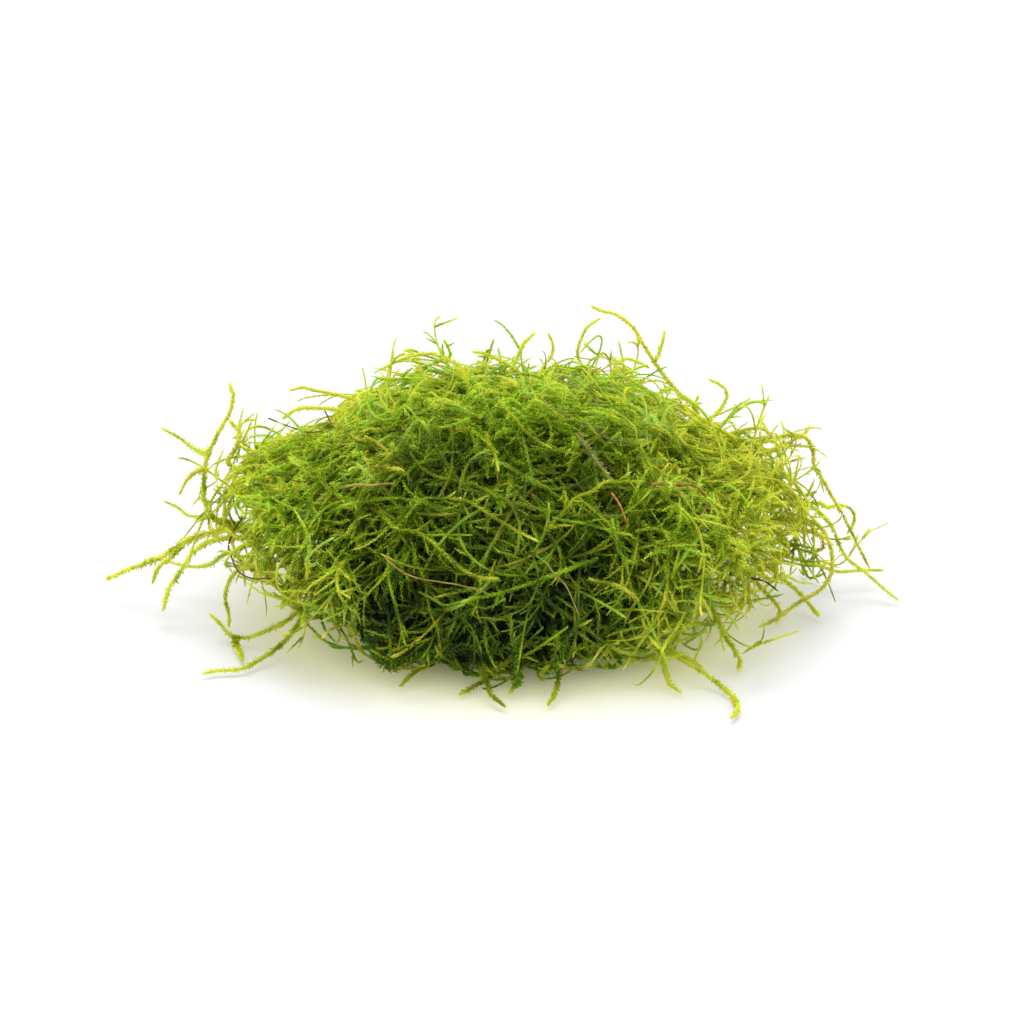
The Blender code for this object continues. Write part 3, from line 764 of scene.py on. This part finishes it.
# shoots that lie on the front of the mat: size, hue, lift above the surface, and the route across and up
# in the front view, from foot to tip
frontShoots = [
    (0.80, "vivid", 0.6, [(-18.5, 9), (-18.5, 4), (-17.5, 0), (-16.5, -4), (-16, -6)]),
    (1.00, "vivid", 1.2, [(13, 7), (7.5, 5), (3.5, 3.5), (-1, 2), (-5.5, 1), (-7.5, 0.5)]),
    (1.10, "young", 1.2, [(19, 0.5), (17.5, 2), (15.5, 3), (13, 3.5), (11.5, 4)]),
    (1.15, "young", 1.0, [(-20, 14), (-17.5, 11.5), (-14.5, 11), (-12, 9.5), (-10, 7.5), (-7, 5), (-4, 4),
                          (-2, 4)]),
    (0.95, "vivid", 0.9, [(-28, 13.5), (-25, 15), (-22, 15.5), (-19, 16), (-17, 16)]),
    (0.65, "vivid", 0.9, [(-14.5, 10.5), (-11, 10.5), (-6, 10.5)]),
    (0.75, "vivid", 0.9, [(-16, 13), (-14.5, 15), (-13, 16), (-10, 16), (-8.5, 17)]),
    (0.85, "young", 0.9, [(-9.5, 16), (-6.5, 15.5), (-4, 14), (-2.5, 13), (1, 11), (4, 9.5)]),
    (0.85, "young", 0.9, [(-2, 30.5), (0, 28.5), (2, 26), (4, 24.5), (6, 23.5)]),
    (0.95, "young", 0.9, [(-4, 26), (-3.5, 24.5), (-2.5, 22.5), (-2, 20)]),
    (0.75, "vivid", 0.9, [(-13, 22.5), (-12.5, 23.5), (-12.5, 24), (-11.5, 24), (-11, 23.5)]),
    (0.95, "young", 0.9, [(7, 13), (9.5, 16), (12, 17), (14, 18.5), (16, 18.5), (20, 18.5)]),
    (0.95, "vivid", 1.3, [(28, 4), (30.5, 5.5), (32.5, 7.5), (35, 8), (37, 9.5), (39.5, 10)]),
    (0.90, "vivid", 1.0, [(24, 4.5), (26, 7.5), (28, 10), (30.5, 11), (32, 11.5), (32.5, 12.5), (32.5, 14)]),
    (0.80, "young", 0.9, [(18.5, 11), (20.5, 11.5), (23, 11), (24.5, 10), (25, 8), (24.5, 6), (24, 4)]),
    (0.75, "vivid", 0.9, [(15, 13), (15.5, 10.5), (16, 8), (17, 7), (17.5, 4.5)]),
    (0.95, "vivid", 1.0, [(26.5, 3), (29, 1.5), (31, 1), (33, 0.5)]),
    (0.85, "young", 0.9, [(26, -1), (25, -3), (23.5, -5), (22.5, -7)]),
    (0.75, "young", 0.9, [(19.5, -2), (20.5, -4.5), (22, -6.5)]),
    (0.70, "old", 0.8, [(-24.5, -3), (-23.5, -5), (-22.5, -7), (-21, -8), (-19, -9), (-17, -9.5),
                        (-15, -9.5), (-13, -9)]),
    (0.60, "old", 0.8, [(7, -9), (8.5, -9.5), (10.5, -9.5), (12, -8.5), (13, -7), (14, -6)]),
    (0.65, "old", 0.8, [(-25, -3), (-27, -3.5), (-28.5, -5)]),
    (0.65, "old", 0.8, [(5, -8.5), (5.5, -9), (4.5, -10), (4, -11)]),
    (0.70, "shaded", 0.5, [(-14, 2), (-12, 1), (-10, 0), (-7, 0.5), (-4, -0.5), (-1, 1)]),
    (0.80, "vivid", 0.9, [(6, 13), (9, 12.5), (12, 12), (15, 11), (18, 10.5)]),
]


def frontSurface():
    # each route laid on the mat as a thick shoot, with side branches on those that are thick and long enough
    rng = np.random.default_rng(31)
    parts = []
    for size, hue, lift, route in frontShoots:
        path = smoothRoute(ontoMat(route, lift), 0.8)[None]
        parts.extend(leafyShoots(rng, path, ropeStyle, size, hues[hue], 0.06, taper=0.1))
        if size > 0.7 and path.shape[1] > 8:
            for twigs in branches(rng, path, 2, 0.7, (2, 4), 0.8, 0.09, skip=2, share=0.5):
                parts.extend(leafyShoots(rng, twigs, frondStyle, 1.0, hues[hue], 0.04))
    return makePiece("front_surface_shoots", parts, mossGreen, "moss_mat", "tangled_mat")


total += frontSurface()


# soft tufts on the front and the crown, where only fine feathery shoots show: middle across and up in the
# front view, half width and half height, number, hue, how much lighter, and the way they run
tufts = [
    (-33, 20, 5, 9, 130, "vivid", 0.06, (-0.8, -0.5, -0.6)),
    (-25, 21, 5, 6, 40, "vivid", 0.0, (-0.8, -0.5, -0.5)),
    (-14, 13, 5, 6, 40, "vivid", -0.06, (-0.3, -0.5, -0.8)),
    (1, 29, 13, 4, 110, "vivid", -0.04, (0.5, -0.6, -0.1)),
    (25, 12, 6, 5, 60, "vivid", 0.0, (0.8, -0.5, 0.2)),
    (33, 11, 5, 4, 50, "young", 0.0, (0.9, -0.3, 0.2)),
]


def softTufts():
    # in each tuft short feathery shoots lie just over the surface, thickest in its middle and fewer to the
    # sides by a bell curve, and those whose line of sight misses the mat are left out
    rng = np.random.default_rng(41)
    parts = []
    for x, up, halfWidth, halfHeight, count, hue, tone, way in tufts:
        drawn = np.array([x, up]) + rng.normal(size=(count, 2)) * np.array([halfWidth, halfHeight]) * 0.55
        start = ontoMat(drawn, 0.0)
        depth, outward = matDepth(start)
        start, outward = start[np.abs(depth) < 1.0], outward[np.abs(depth) < 1.0]
        count = len(start)
        inset = rng.uniform(0.2, 2.0, count)
        heading = np.array(way) + rng.normal(size=(count, 3)) * 0.6
        path = wander(rng, start - outward * inset[:, None], heading, 1.3, 6, inset, inset - 1.0, 0.09, 0.05)
        light = tone + rng.normal(size=count) * toneSpread
        parts.extend(leafyShoots(rng, path, fuzzStyle, rng.uniform(0.8, 1.15, count), hues[hue], light))
    return makePiece("soft_tufts", parts, mossGreen, "moss_mat", "tangled_mat")


total += softTufts()


# the loose shoots and their branches, as in CAD: the route of each, from foot to tip
looseShoots = {
    "left_trailing_shoot": [(-34, -3, 13), (-41, -4, 14), (-45, -3, 13), (-49, -2, 11), (-53, -1, 8),
                            (-56, 0, 6.5), (-58.5, 0, 5.5), (-61.5, 0, 4)],
    "left_low_shoot": [(-36, 2, 10), (-43, 1, 8), (-46, 2, 5.5), (-49.5, 3, 5), (-53, 4, 5.5)],
    "left_hanging_shoot": [(-36, -8, 14), (-43, -8, 14), (-47, -8, 12), (-49, -8, 9), (-51, -8, 6),
                           (-52, -8, 2.5)],
    "left_upright_shoot": [(-36, 0, 10), (-44, 0, 13.5), (-46, 0, 17), (-46, 0, 20), (-45.5, 1, 23.5),
                           (-43.5, 2, 27.5), (-42, 3, 30), (-41.5, 3, 32.5), (-42, 3, 34.5)],
    "left_forked_shoot": [(-36, 3, 20), (-42.5, 4, 21), (-41.5, 5, 23.5), (-41, 6, 25.5), (-42.5, 6, 27.5)],
    "left_twig_shoot": [(-36, 7, 9), (-45, 6, 11.5), (-49, 6, 12), (-51, 7, 13), (-53, 7, 14)],
    "upper_left_sweeping_shoot": [(-18, 6, 26), (-23, 7, 30), (-27, 8, 31), (-29.5, 8, 31.5),
                                  (-31.5, 8, 32), (-33.5, 8, 31.5)],
    "upper_left_low_shoot": [(-20, 3, 26), (-25, 4, 29.5), (-30, 4.5, 30), (-32.5, 5, 29.5), (-34.5, 5, 28)],
    "front_left_floor_shoot": [(-24, -10, 8), (-30, -15, 5.5), (-32, -18, 3.5), (-34, -20, 2),
                               (-36.5, -23, 1.3), (-39, -25.5, 1), (-42.5, -26, 0.9), (-44.5, -27, 0.9)],
    "front_left_arching_shoot": [(-26, -8, 8), (-32.5, -14, 4), (-36.5, -16, 2.5), (-39, -16, 1.6),
                                 (-41.5, -15, 1.6), (-43, -14, 3), (-44.5, -14, 4.5)],
    "front_left_dropping_shoot": [(-33, -4, 13), (-40, -8, 9.5), (-42, -9, 7.5), (-42.5, -10, 5),
                                  (-42, -10.5, 3), (-42, -11, 1)],
    "front_left_tip": [(-8, -20, 4), (-12, -27, 2.5), (-14, -29, 2), (-16, -31.5, 1)],
    "front_short_tip": [(0, -20, 5), (-2, -28, 2), (-5.5, -31.5, 1), (-7.5, -34, 0.9)],
    "front_kinked_shoot": [(-8, -20, 8), (-5.5, -28, 4.5), (-4, -32, 3.2), (-3, -35.5, 1.8), (-1, -38, 0.9)],
    "front_thin_shoot": [(3, -20, 7), (1.5, -26, 4.5), (1, -29, 2.8), (0.5, -32, 1.5), (-0.5, -34, 1)],
    "front_centre_shoot": [(6, -20, 8), (5.5, -27, 5), (6.5, -30, 3.5), (6.5, -33, 2.5), (6, -35, 1.4),
                           (5, -37.5, 0.9)],
    "front_right_long_shoot": [(13, -15, 6), (19.5, -22.5, 4.5), (22, -25.5, 4), (24.5, -27.5, 3.3),
                               (27, -29.5, 2.5), (29, -31, 1.5), (30.5, -33, 1), (31.5, -36, 0.9),
                               (31.5, -39.5, 0.9), (30.5, -41.5, 0.9)],
    "front_right_hanging_shoot": [(26, -6, 9), (29, -13, 6), (30, -16, 4.8), (31, -19, 3.3),
                                  (32.5, -22, 2), (33, -24, 1.3), (32.5, -26, 1)],
    "right_claw_shoot": [(33, 0, 8), (38.5, -5, 3.5), (40, -7, 2), (39.5, -9, 1)],
    "right_looping_shoot": [(36, 0, 14), (44.5, -1, 14), (47, -2, 12), (48, -3, 9), (47.5, -5, 6.5),
                            (45.5, -6, 4.5), (42.5, -8, 3.6), (39.5, -11, 2.6), (36.5, -13, 2)],
    "right_outer_shoot": [(36, 2, 15), (42, 1, 16), (45, 1, 15.5), (48, 1.5, 12.5), (49.5, 1.5, 9),
                          (51, 2, 6.5), (53.5, 2, 4.5), (56, 1, 2.5), (58.5, -1, 1)],
    "right_flat_shoot": [(34, 4, 8), (44, 4, 5.5), (47.5, 5, 4), (50, 5.5, 3), (53.5, 6, 3), (57, 6, 3)],
    "right_low_shoot": [(35, 1, 9), (42, -2, 4), (44.5, -4, 2), (46, -7, 1)],
    "right_rising_shoot": [(33, 9, 22), (43, 9, 24), (45.5, 9, 22), (46, 9, 19), (47.5, 9, 16.5),
                           (49, 8, 14), (50.5, 8, 11.5), (52, 8, 8.5), (53.5, 8, 5.5), (55, 8, 2.5)],
    "right_curling_shoot": [(36, 6, 13), (46, 10, 12.5), (48.5, 12, 11), (50.5, 13, 11), (52.5, 13.5, 10),
                            (53, 13.5, 8), (52, 13.5, 6)],
    "right_forked_shoot": [(34, 11, 18), (41, 12, 21), (44.5, 13, 22.5), (45.5, 13, 24)],
    "top_tall_shoot": [(31, 17, 16), (28.5, 20, 24), (26, 20, 26.5), (23.5, 20, 29.5), (21.5, 20, 32.5),
                       (20, 20, 35), (18.5, 20, 37.5), (16, 20, 39.5), (13.5, 20, 40.2), (12, 20, 41)],
    "top_bowed_shoot": [(12, 10, 26), (11.5, 14, 30), (11, 16, 32), (10, 17, 34), (10.5, 17, 36.5),
                        (11.5, 17, 38.5), (13.5, 16.5, 40.2)],
    "top_arching_shoot": [(15, 8, 26), (15, 12, 31), (15.5, 13, 33.5), (17, 14, 34.5), (19, 14, 34),
                          (21, 14, 33)],
    "top_hooked_shoot": [(26, 8, 18), (30, 13, 24.5), (32, 15, 26), (33, 16, 28), (32, 16, 29.5),
                         (30, 16, 30.5)],
    "top_thick_shoot": [(-1, 8, 28), (-1, 13, 31), (0, 15, 32.5), (1, 16, 34.5), (2, 16, 36.5),
                        (3.5, 16, 38)],
    "top_short_shoot": [(3, 10, 28), (4, 15, 31), (5, 17, 32.5), (6, 18, 33.5), (6.3, 19, 35), (5.5, 19, 37)],
    "top_sweeping_shoot": [(3, 6, 28), (1.5, 10.5, 32.5), (0, 11.5, 34), (-2, 12, 35), (-4, 12, 36),
                           (-6, 12, 36.3)],
    "top_left_arc_shoot": [(-12, 8, 26), (-13.5, 12, 32), (-14, 14, 33.5), (-15, 15, 35), (-16.5, 15, 35.5)],
    "top_left_bowed_shoot": [(-5, 2, 30), (-7.5, 6, 35.5), (-10, 8, 36.5), (-12, 9, 37), (-14.5, 9, 36.8),
                             (-17, 9, 36), (-19.5, 8.5, 34.8)],
    "back_left_shoot": [(-24, 14, 12), (-32, 25, 9), (-37, 30, 5), (-41, 33, 2), (-44, 34, 1)],
    "back_high_shoot": [(-14, 12, 20), (-20, 22, 24), (-24, 26, 24.5), (-27, 28, 21)],
    "back_floor_shoot": [(-4, 20, 8), (-7, 31, 4), (-8, 36, 2), (-11, 41, 1)],
    "back_short_shoot": [(2, 20, 14), (3, 31, 18), (3, 35, 17), (1, 38, 14)],
    "back_arching_shoot": [(12, 18, 12), (14, 30, 15), (15, 36, 11), (15, 40, 6), (17, 42, 2)],
    "back_low_shoot": [(18, 18, 7), (24, 30, 4), (28, 35, 2), (30, 38, 1)],
    "back_right_shoot": [(26, 12, 12), (34, 22, 10), (39, 26, 7), (43, 28, 3), (46, 28, 1)],
    "left_trailing_branch": [(-49, -2, 11), (-51, -3, 9), (-53, -3.5, 7.5), (-54, -4, 5)],
    "left_upright_high_branch": [(-45, 1, 24), (-47.5, 3, 24), (-50, 4, 25.5), (-52.5, 4, 27)],
    "left_upright_low_branch": [(-46, 0, 22), (-48, -2, 21.5), (-49.5, -3, 19)],
    "front_left_arching_branch": [(-41, -15.5, 1.5), (-40, -19, 1.1), (-39, -22.5, 0.9)],
    "front_right_upper_branch": [(22, -25, 4), (25.5, -25.5, 2.5), (27.5, -26.5, 1.6)],
    "front_right_thin_branch": [(21, -25, 4), (22, -29, 2), (22.5, -31, 1.2), (24, -33.5, 0.9)],
    "top_tall_branch": [(22, 20, 32), (23, 21, 34), (23.5, 21.5, 36.5)],
}

# what a user would change: each loose shoot's thickness, where it isn't the usual one
usualThickness = 0.85
thicknessOf = {
    "left_low_shoot": 0.6, "left_twig_shoot": 0.6, "left_upright_high_branch": 0.6,
    "left_upright_low_branch": 0.6, "left_trailing_shoot": 1.25, "left_upright_shoot": 0.95,
    "left_hanging_shoot": 1.05, "left_forked_shoot": 1.05, "right_outer_shoot": 0.6,
    "right_flat_shoot": 0.6, "right_rising_shoot": 0.6, "right_curling_shoot": 0.65,
    "right_looping_shoot": 0.7, "top_bowed_shoot": 0.55, "top_hooked_shoot": 0.65, "top_tall_shoot": 0.75,
    "top_tall_branch": 0.6, "top_arching_shoot": 0.65, "top_short_shoot": 0.6, "top_left_bowed_shoot": 0.7,
    "front_thin_shoot": 0.6, "front_right_thin_branch": 0.6, "upper_left_sweeping_shoot": 0.65,
}


def looseShoot(name, route, seed):
    # a shoot along its own smooth curve, sized by three quarters plus three quarters of its thickness, with
    # short buds on both sides of the longer ones
    rng = np.random.default_rng(seed)
    path = smoothRoute(route, 0.6)[None]
    thickness = 0.75 + 0.75 * thicknessOf.get(name, usualThickness)
    # the shoots 0.08 lighter and their buds 0.05: painted light, as light comes through the loose shoots
    parts = leafyShoots(rng, path, looseStyle, thickness, hues["young"], 0.08, taper=0.35)
    if path.shape[1] > 12:
        for buds in branches(rng, path, 3, 0.5, (1, 2), 0.9, 0.1, skip=4, share=0.45):
            parts.extend(leafyShoots(rng, buds, frondStyle, 0.8 * thickness, hues["young"], 0.05))
    return makePiece("leafy_" + name, parts, mossGreen, "leafy_shoots", name)


for number, (name, route) in enumerate(looseShoots.items()):
    total += looseShoot(name, route, 100 + number)


# where each bark lies, from the left to the right of the stems' map
barks = {"orange": 0.08, "tan": 0.25, "straw": 0.42, "brown": 0.58, "grey": 0.75, "dark": 0.92}

# what a user would change about the bark: its colours, how blotches darken it, its dullness and its shine
barkLook = {
    "colours": {"orange": (0.38, 0.18, 0.055), "tan": (0.33, 0.19, 0.055), "straw": (0.32, 0.26, 0.070),
                "brown": (0.11, 0.068, 0.014), "grey": (0.13, 0.12, 0.06), "dark": (0.045, 0.038, 0.014)},
    "blotches": [(0.30, (0.35, 0.30, 0.28)), (0.62, (1.0, 1.0, 1.0))],
    "roughness": 0.60, "shine": 0.03,
}


def barkMaterial(name):
    # the column, shifted a little by the blotches, gives the colour, and the blotches darken and dull it
    material, make = newTree(name)
    place = make.node("ShaderNodeUVMap", {"uv_map": shootMap})
    across = make.node("ShaderNodeSeparateXYZ", None, {0: place}, "X")
    blotch = make.node("ShaderNodeTexNoise", {"noise_dimensions": "2D"},
                       {"Vector": place, "Scale": 60.0, "Detail": 3.0})
    barkStops = [(barks[bark], colour) for bark, colour in barkLook["colours"].items()]
    colour = make.node("ShaderNodeValToRGB", {"stops": barkStops}, {0: across + (blotch - 0.5) * 0.05})
    shadow = make.node("ShaderNodeValToRGB", {"stops": barkLook["blotches"]}, {0: blotch})
    surface = make.node("ShaderNodeBsdfPrincipled", None, {
        "Base Color": make.blend(1.0, colour, shadow, "MULTIPLY"),
        "Roughness": barkLook["roughness"] + (blotch - 0.5) * 0.3, "Specular IOR Level": barkLook["shine"]})
    make.node("ShaderNodeOutputMaterial", None, {"Surface": surface})
    return material


barkBrown = barkMaterial("bark")
print("bark material made")

# bare stems as in CAD: radius, bark and the plan points that are dropped onto the mat
bareStems = {
    "bare_stem_orange": (0.20, "orange", [(14, -22), (15, -23), (16, -24.5)]),
    "bare_stem_red": (0.22, "tan", [(19.5, -19.5), (22.5, -18), (25.5, -16), (27.5, -16.5), (27, -19),
                                    (25.5, -21)]),
    "bare_stem_purple": (0.20, "grey", [(10, -12), (12, -13), (14, -14), (16, -13.5)]),
    "bare_stem_pink": (0.25, "straw", [(-24, -18.5), (-21.5, -20), (-19.5, -21), (-16.5, -21.5)]),
    "bare_stem_back": (0.30, "brown", [(-9, 19), (-4, 21), (3, 22), (9, 20)]),
}

# dead shoots that keep their leaves, as in CAD: radius, how much lighter, hue and plan points
deadShoots = {
    "bare_stem_grey": (0.55, 0.05, "dead", [(9, -14.5), (11, -17), (12.5, -19), (13.5, -20)]),
    "bare_stem_stub": (0.50, 0.10, "old", [(-19, -19.3), (-17.5, -19.8), (-15.5, -20.3)]),
    "bare_stem_dark": (0.35, -0.30, "old", [(-13, -16.5), (-12, -15), (-10.5, -14)]),
    "bare_stem_split": (0.40, -0.32, "old", [(-23, -8), (-22, -10), (-20.5, -12.5)]),
}

# thin dead stems on the front, drawn across and up in the front view: radius, bark, lift and route
thinStems = [
    (0.12, "straw", 1.4, [(5, 6.5), (6.5, 4.5), (8, 3), (9, 1), (10, -1.5)]),
    (0.13, "straw", 1.3, [(-19, 7), (-16.5, 5), (-14, 4), (-11, 3.5), (-8, 3), (-4, 2)]),
    (0.15, "brown", 1.6, [(-40.5, 13), (-41.5, 11.5), (-42.5, 9), (-42, 7), (-41, 5), (-39, 4), (-36.5, 4),
                          (-35, 4)]),
    (0.12, "dark", 1.4, [(-36.5, 28), (-34, 27), (-31, 26), (-28.5, 26)]),
    (0.13, "brown", 1.2, [(-28, 29), (-27, 27), (-26.5, 26.5)]),
    (0.14, "tan", 1.0, [(-27, 26.5), (-27.5, 24.5)]),
    (0.15, "straw", 1.3, [(4.5, 31), (5.5, 30), (7.5, 29), (9, 29)]),
    (0.12, "dark", 1.0, [(-18, 26), (-17, 26.2), (-16, 26)]),
    (0.16, "dark", 1.2, [(36, 4), (38, 3.5), (40, 2)]),
    (0.12, "brown", 1.2, [(-37, 19), (-35, 19.5), (-32, 18.5), (-29, 19)]),
]

# thin dead stems strewn over the crown: steps of each lot, number in a lot, radius, barks, and how far under
# the surface they start
strewnStems = {"steps": (6, 10, 14), "count": 4, "radius": (0.06, 0.10), "barks": ("straw", "tan"),
               "under": 0.8}


def plainTubes(rng, path, radius, barkPlace):
    # bare stems: a tube whose map runs across by bark and up along its length
    steps = path.shape[1] - 1
    foot = rng.random((len(path), 1)) * 0.6
    barkColumn = perPath(barkPlace, path)

    def look(place):
        # one column for the whole stem, and up from a chance height by three tenths of the map
        return barkColumn + 0.0 * place, foot + 0.3 * place / steps

    return tubeMesh(path, pathFrame(rng, path), perPath(radius, path), 6, 0.35, 0.3, look)


def laidOnMat(planPoints, radius, step):
    # plan points on a smooth curve, each raised to the crown and clear of it by the stem's own width
    plan = smoothRoute([(x, y, 0.0) for x, y in planPoints], step)
    azimuth = np.arctan2(plan[:, 1], plan[:, 0])
    share = np.hypot(plan[:, 0], plan[:, 1]) / planRadius(azimuth)
    surface = matSurface(azimuth, share, False)
    _, outward = matDepth(surface)
    return surface + outward * (2.0 * radius + 0.6)


def makeStems():
    # the stems of the CAD model, each a piece, then one piece of thin ones, drawn and strewn
    rng = np.random.default_rng(51)
    made = 0
    for name, (radius, barkName, planPoints) in bareStems.items():
        path = laidOnMat(planPoints, radius, 0.3)[None]
        tube = plainTubes(rng, path, radius, barks[barkName])
        made += makePiece(name + "_bark", [tube], barkBrown, "bare_stems", name)
    for name, (radius, tone, hue, planPoints) in deadShoots.items():
        path = laidOnMat(planPoints, radius, 0.5)[None]
        parts = leafyShoots(rng, path, looseStyle, 2.0 * radius, hues[hue], tone, taper=0.05)
        made += makePiece(name + "_leaves", parts, mossGreen, "bare_stems", name)
    parts = []
    for radius, barkName, lift, route in thinStems:
        path = smoothRoute(ontoMat(route, lift), 0.4)[None]
        parts.append(plainTubes(rng, path, radius, barks[barkName]))
    count, under = strewnStems["count"], strewnStems["under"]
    for steps in strewnStems["steps"]:
        azimuth = rng.uniform(0.0, 2.0 * math.pi, count)
        surface = matSurface(azimuth, np.sqrt(rng.random(count)) * 0.78, False)
        _, outward = matDepth(surface)
        heading = rng.normal(size=(count, 3))
        path = wander(rng, surface - outward * under, heading, 0.6, steps, under, -0.5, 0.05, 0.03)
        place = rng.choice([barks[name] for name in strewnStems["barks"]], count)
        parts.append(plainTubes(rng, path, rng.uniform(*strewnStems["radius"], count), place))
    return made + makePiece("thin_dead_stems", parts, barkBrown, "bare_stems", "tangled_mat")


total += makeStems()
print("triangles in all", total)


# what a user would change about the stage: the even surround, the lamp, the floor's width and grey, all in
# metres and watts, and its painted glow by the distance from the middle: painted yellow-green light near the
# clump, and painted shade where the glow is low
studio = {
    "surround": 1.6, "topPower": 4.0, "topSize": 0.5, "topPlace": (-0.05, 0.20, 0.65),
    "glow": [(0.022, (0.06, 0.08, 0.03)), (0.034, (0.36, 0.36, 0.14)), (0.048, (0.17, 0.17, 0.18)),
             (0.075, (0.0, 0.0, 0.02)), (0.30, (0.12, 0.12, 0.12)), (1.0, (0.27, 0.27, 0.27))],
    "floorWhite": 0.45, "floorWidth": 8.0,
}


def floorMaterial():
    # white, with a painted glow: emission that paints the yellow-green light coming through the clump near
    # its edge, and is weak under it and in a ring around it, which paints soft shade on the floor
    material, make = newTree("whiteSurface")
    place = make.node("ShaderNodeTexCoord", output=3)
    reach = make.node("ShaderNodeVectorMath", {"operation": "LENGTH"}, {0: place}, "Value")
    glow = make.node("ShaderNodeValToRGB", {"stops": studio["glow"]}, {0: reach})
    white = studio["floorWhite"]
    surface = make.node("ShaderNodeBsdfPrincipled", None, {
        "Base Color": (white, white, white, 1.0), "Roughness": 0.6, "Specular IOR Level": 0.2,
        "Emission Color": glow, "Emission Strength": 1.0})
    make.node("ShaderNodeOutputMaterial", None, {"Surface": surface})
    return material


def makeFloor():
    # one square at height 0, its corners half its width from the middle
    half = studio["floorWidth"] / 2
    corners = [(-half, -half, 0), (half, -half, 0), (half, half, 0), (-half, half, 0)]
    mesh = bpy.data.meshes.new("floor")
    mesh.from_pydata(corners, [], [(0, 1, 2, 3)])
    mesh.materials.append(floorMaterial())
    floor = bpy.data.objects.new("floor", mesh)
    bpy.context.scene.collection.objects.link(floor)


def softLight(name, place, target, size, power):
    # a round lamp that shines from its place straight at the target
    data = bpy.data.lights.new(name, "AREA")
    data.shape = "DISK"
    data.size = size
    data.energy = power
    lamp = bpy.data.objects.new(name, data)
    lamp.location = place
    lamp.rotation_euler = (Vector(target) - Vector(place)).to_track_quat("-Z", "Y").to_euler()
    bpy.context.scene.collection.objects.link(lamp)


def makeStudio():
    # an even white surround and a soft lamp above and behind, in plain screen colours
    world = bpy.data.worlds.new("studio")
    bpy.context.scene.world = world
    world.use_nodes = True
    background = world.node_tree.nodes["Background"]
    background.inputs["Color"].default_value = (1.0, 1.0, 1.0, 1.0)
    background.inputs["Strength"].default_value = studio["surround"]
    softLight("topLight", studio["topPlace"], (0.0, 0.0, 0.0), studio["topSize"], studio["topPower"])
    bpy.context.scene.view_settings.view_transform = "Standard"


def makeCamera():
    # the camera looks at a point above the origin from the front view's height and distance
    distance, aimHeight = view["distance"] * mm, view["aimHeight"] * mm
    data = bpy.data.cameras.new("camera")
    data.lens = view["lens"]
    data.sensor_width = 36.0
    data.clip_end = 20.0
    camera = bpy.data.objects.new("camera", data)
    height = aimHeight + distance * math.sin(view["elevation"])
    camera.location = (0.0, -distance * math.cos(view["elevation"]), height)
    camera.rotation_euler = (math.pi / 2 - view["elevation"], 0.0, 0.0)
    bpy.context.scene.collection.objects.link(camera)
    bpy.context.scene.camera = camera


makeFloor()
makeStudio()
makeCamera()
print("stage made")
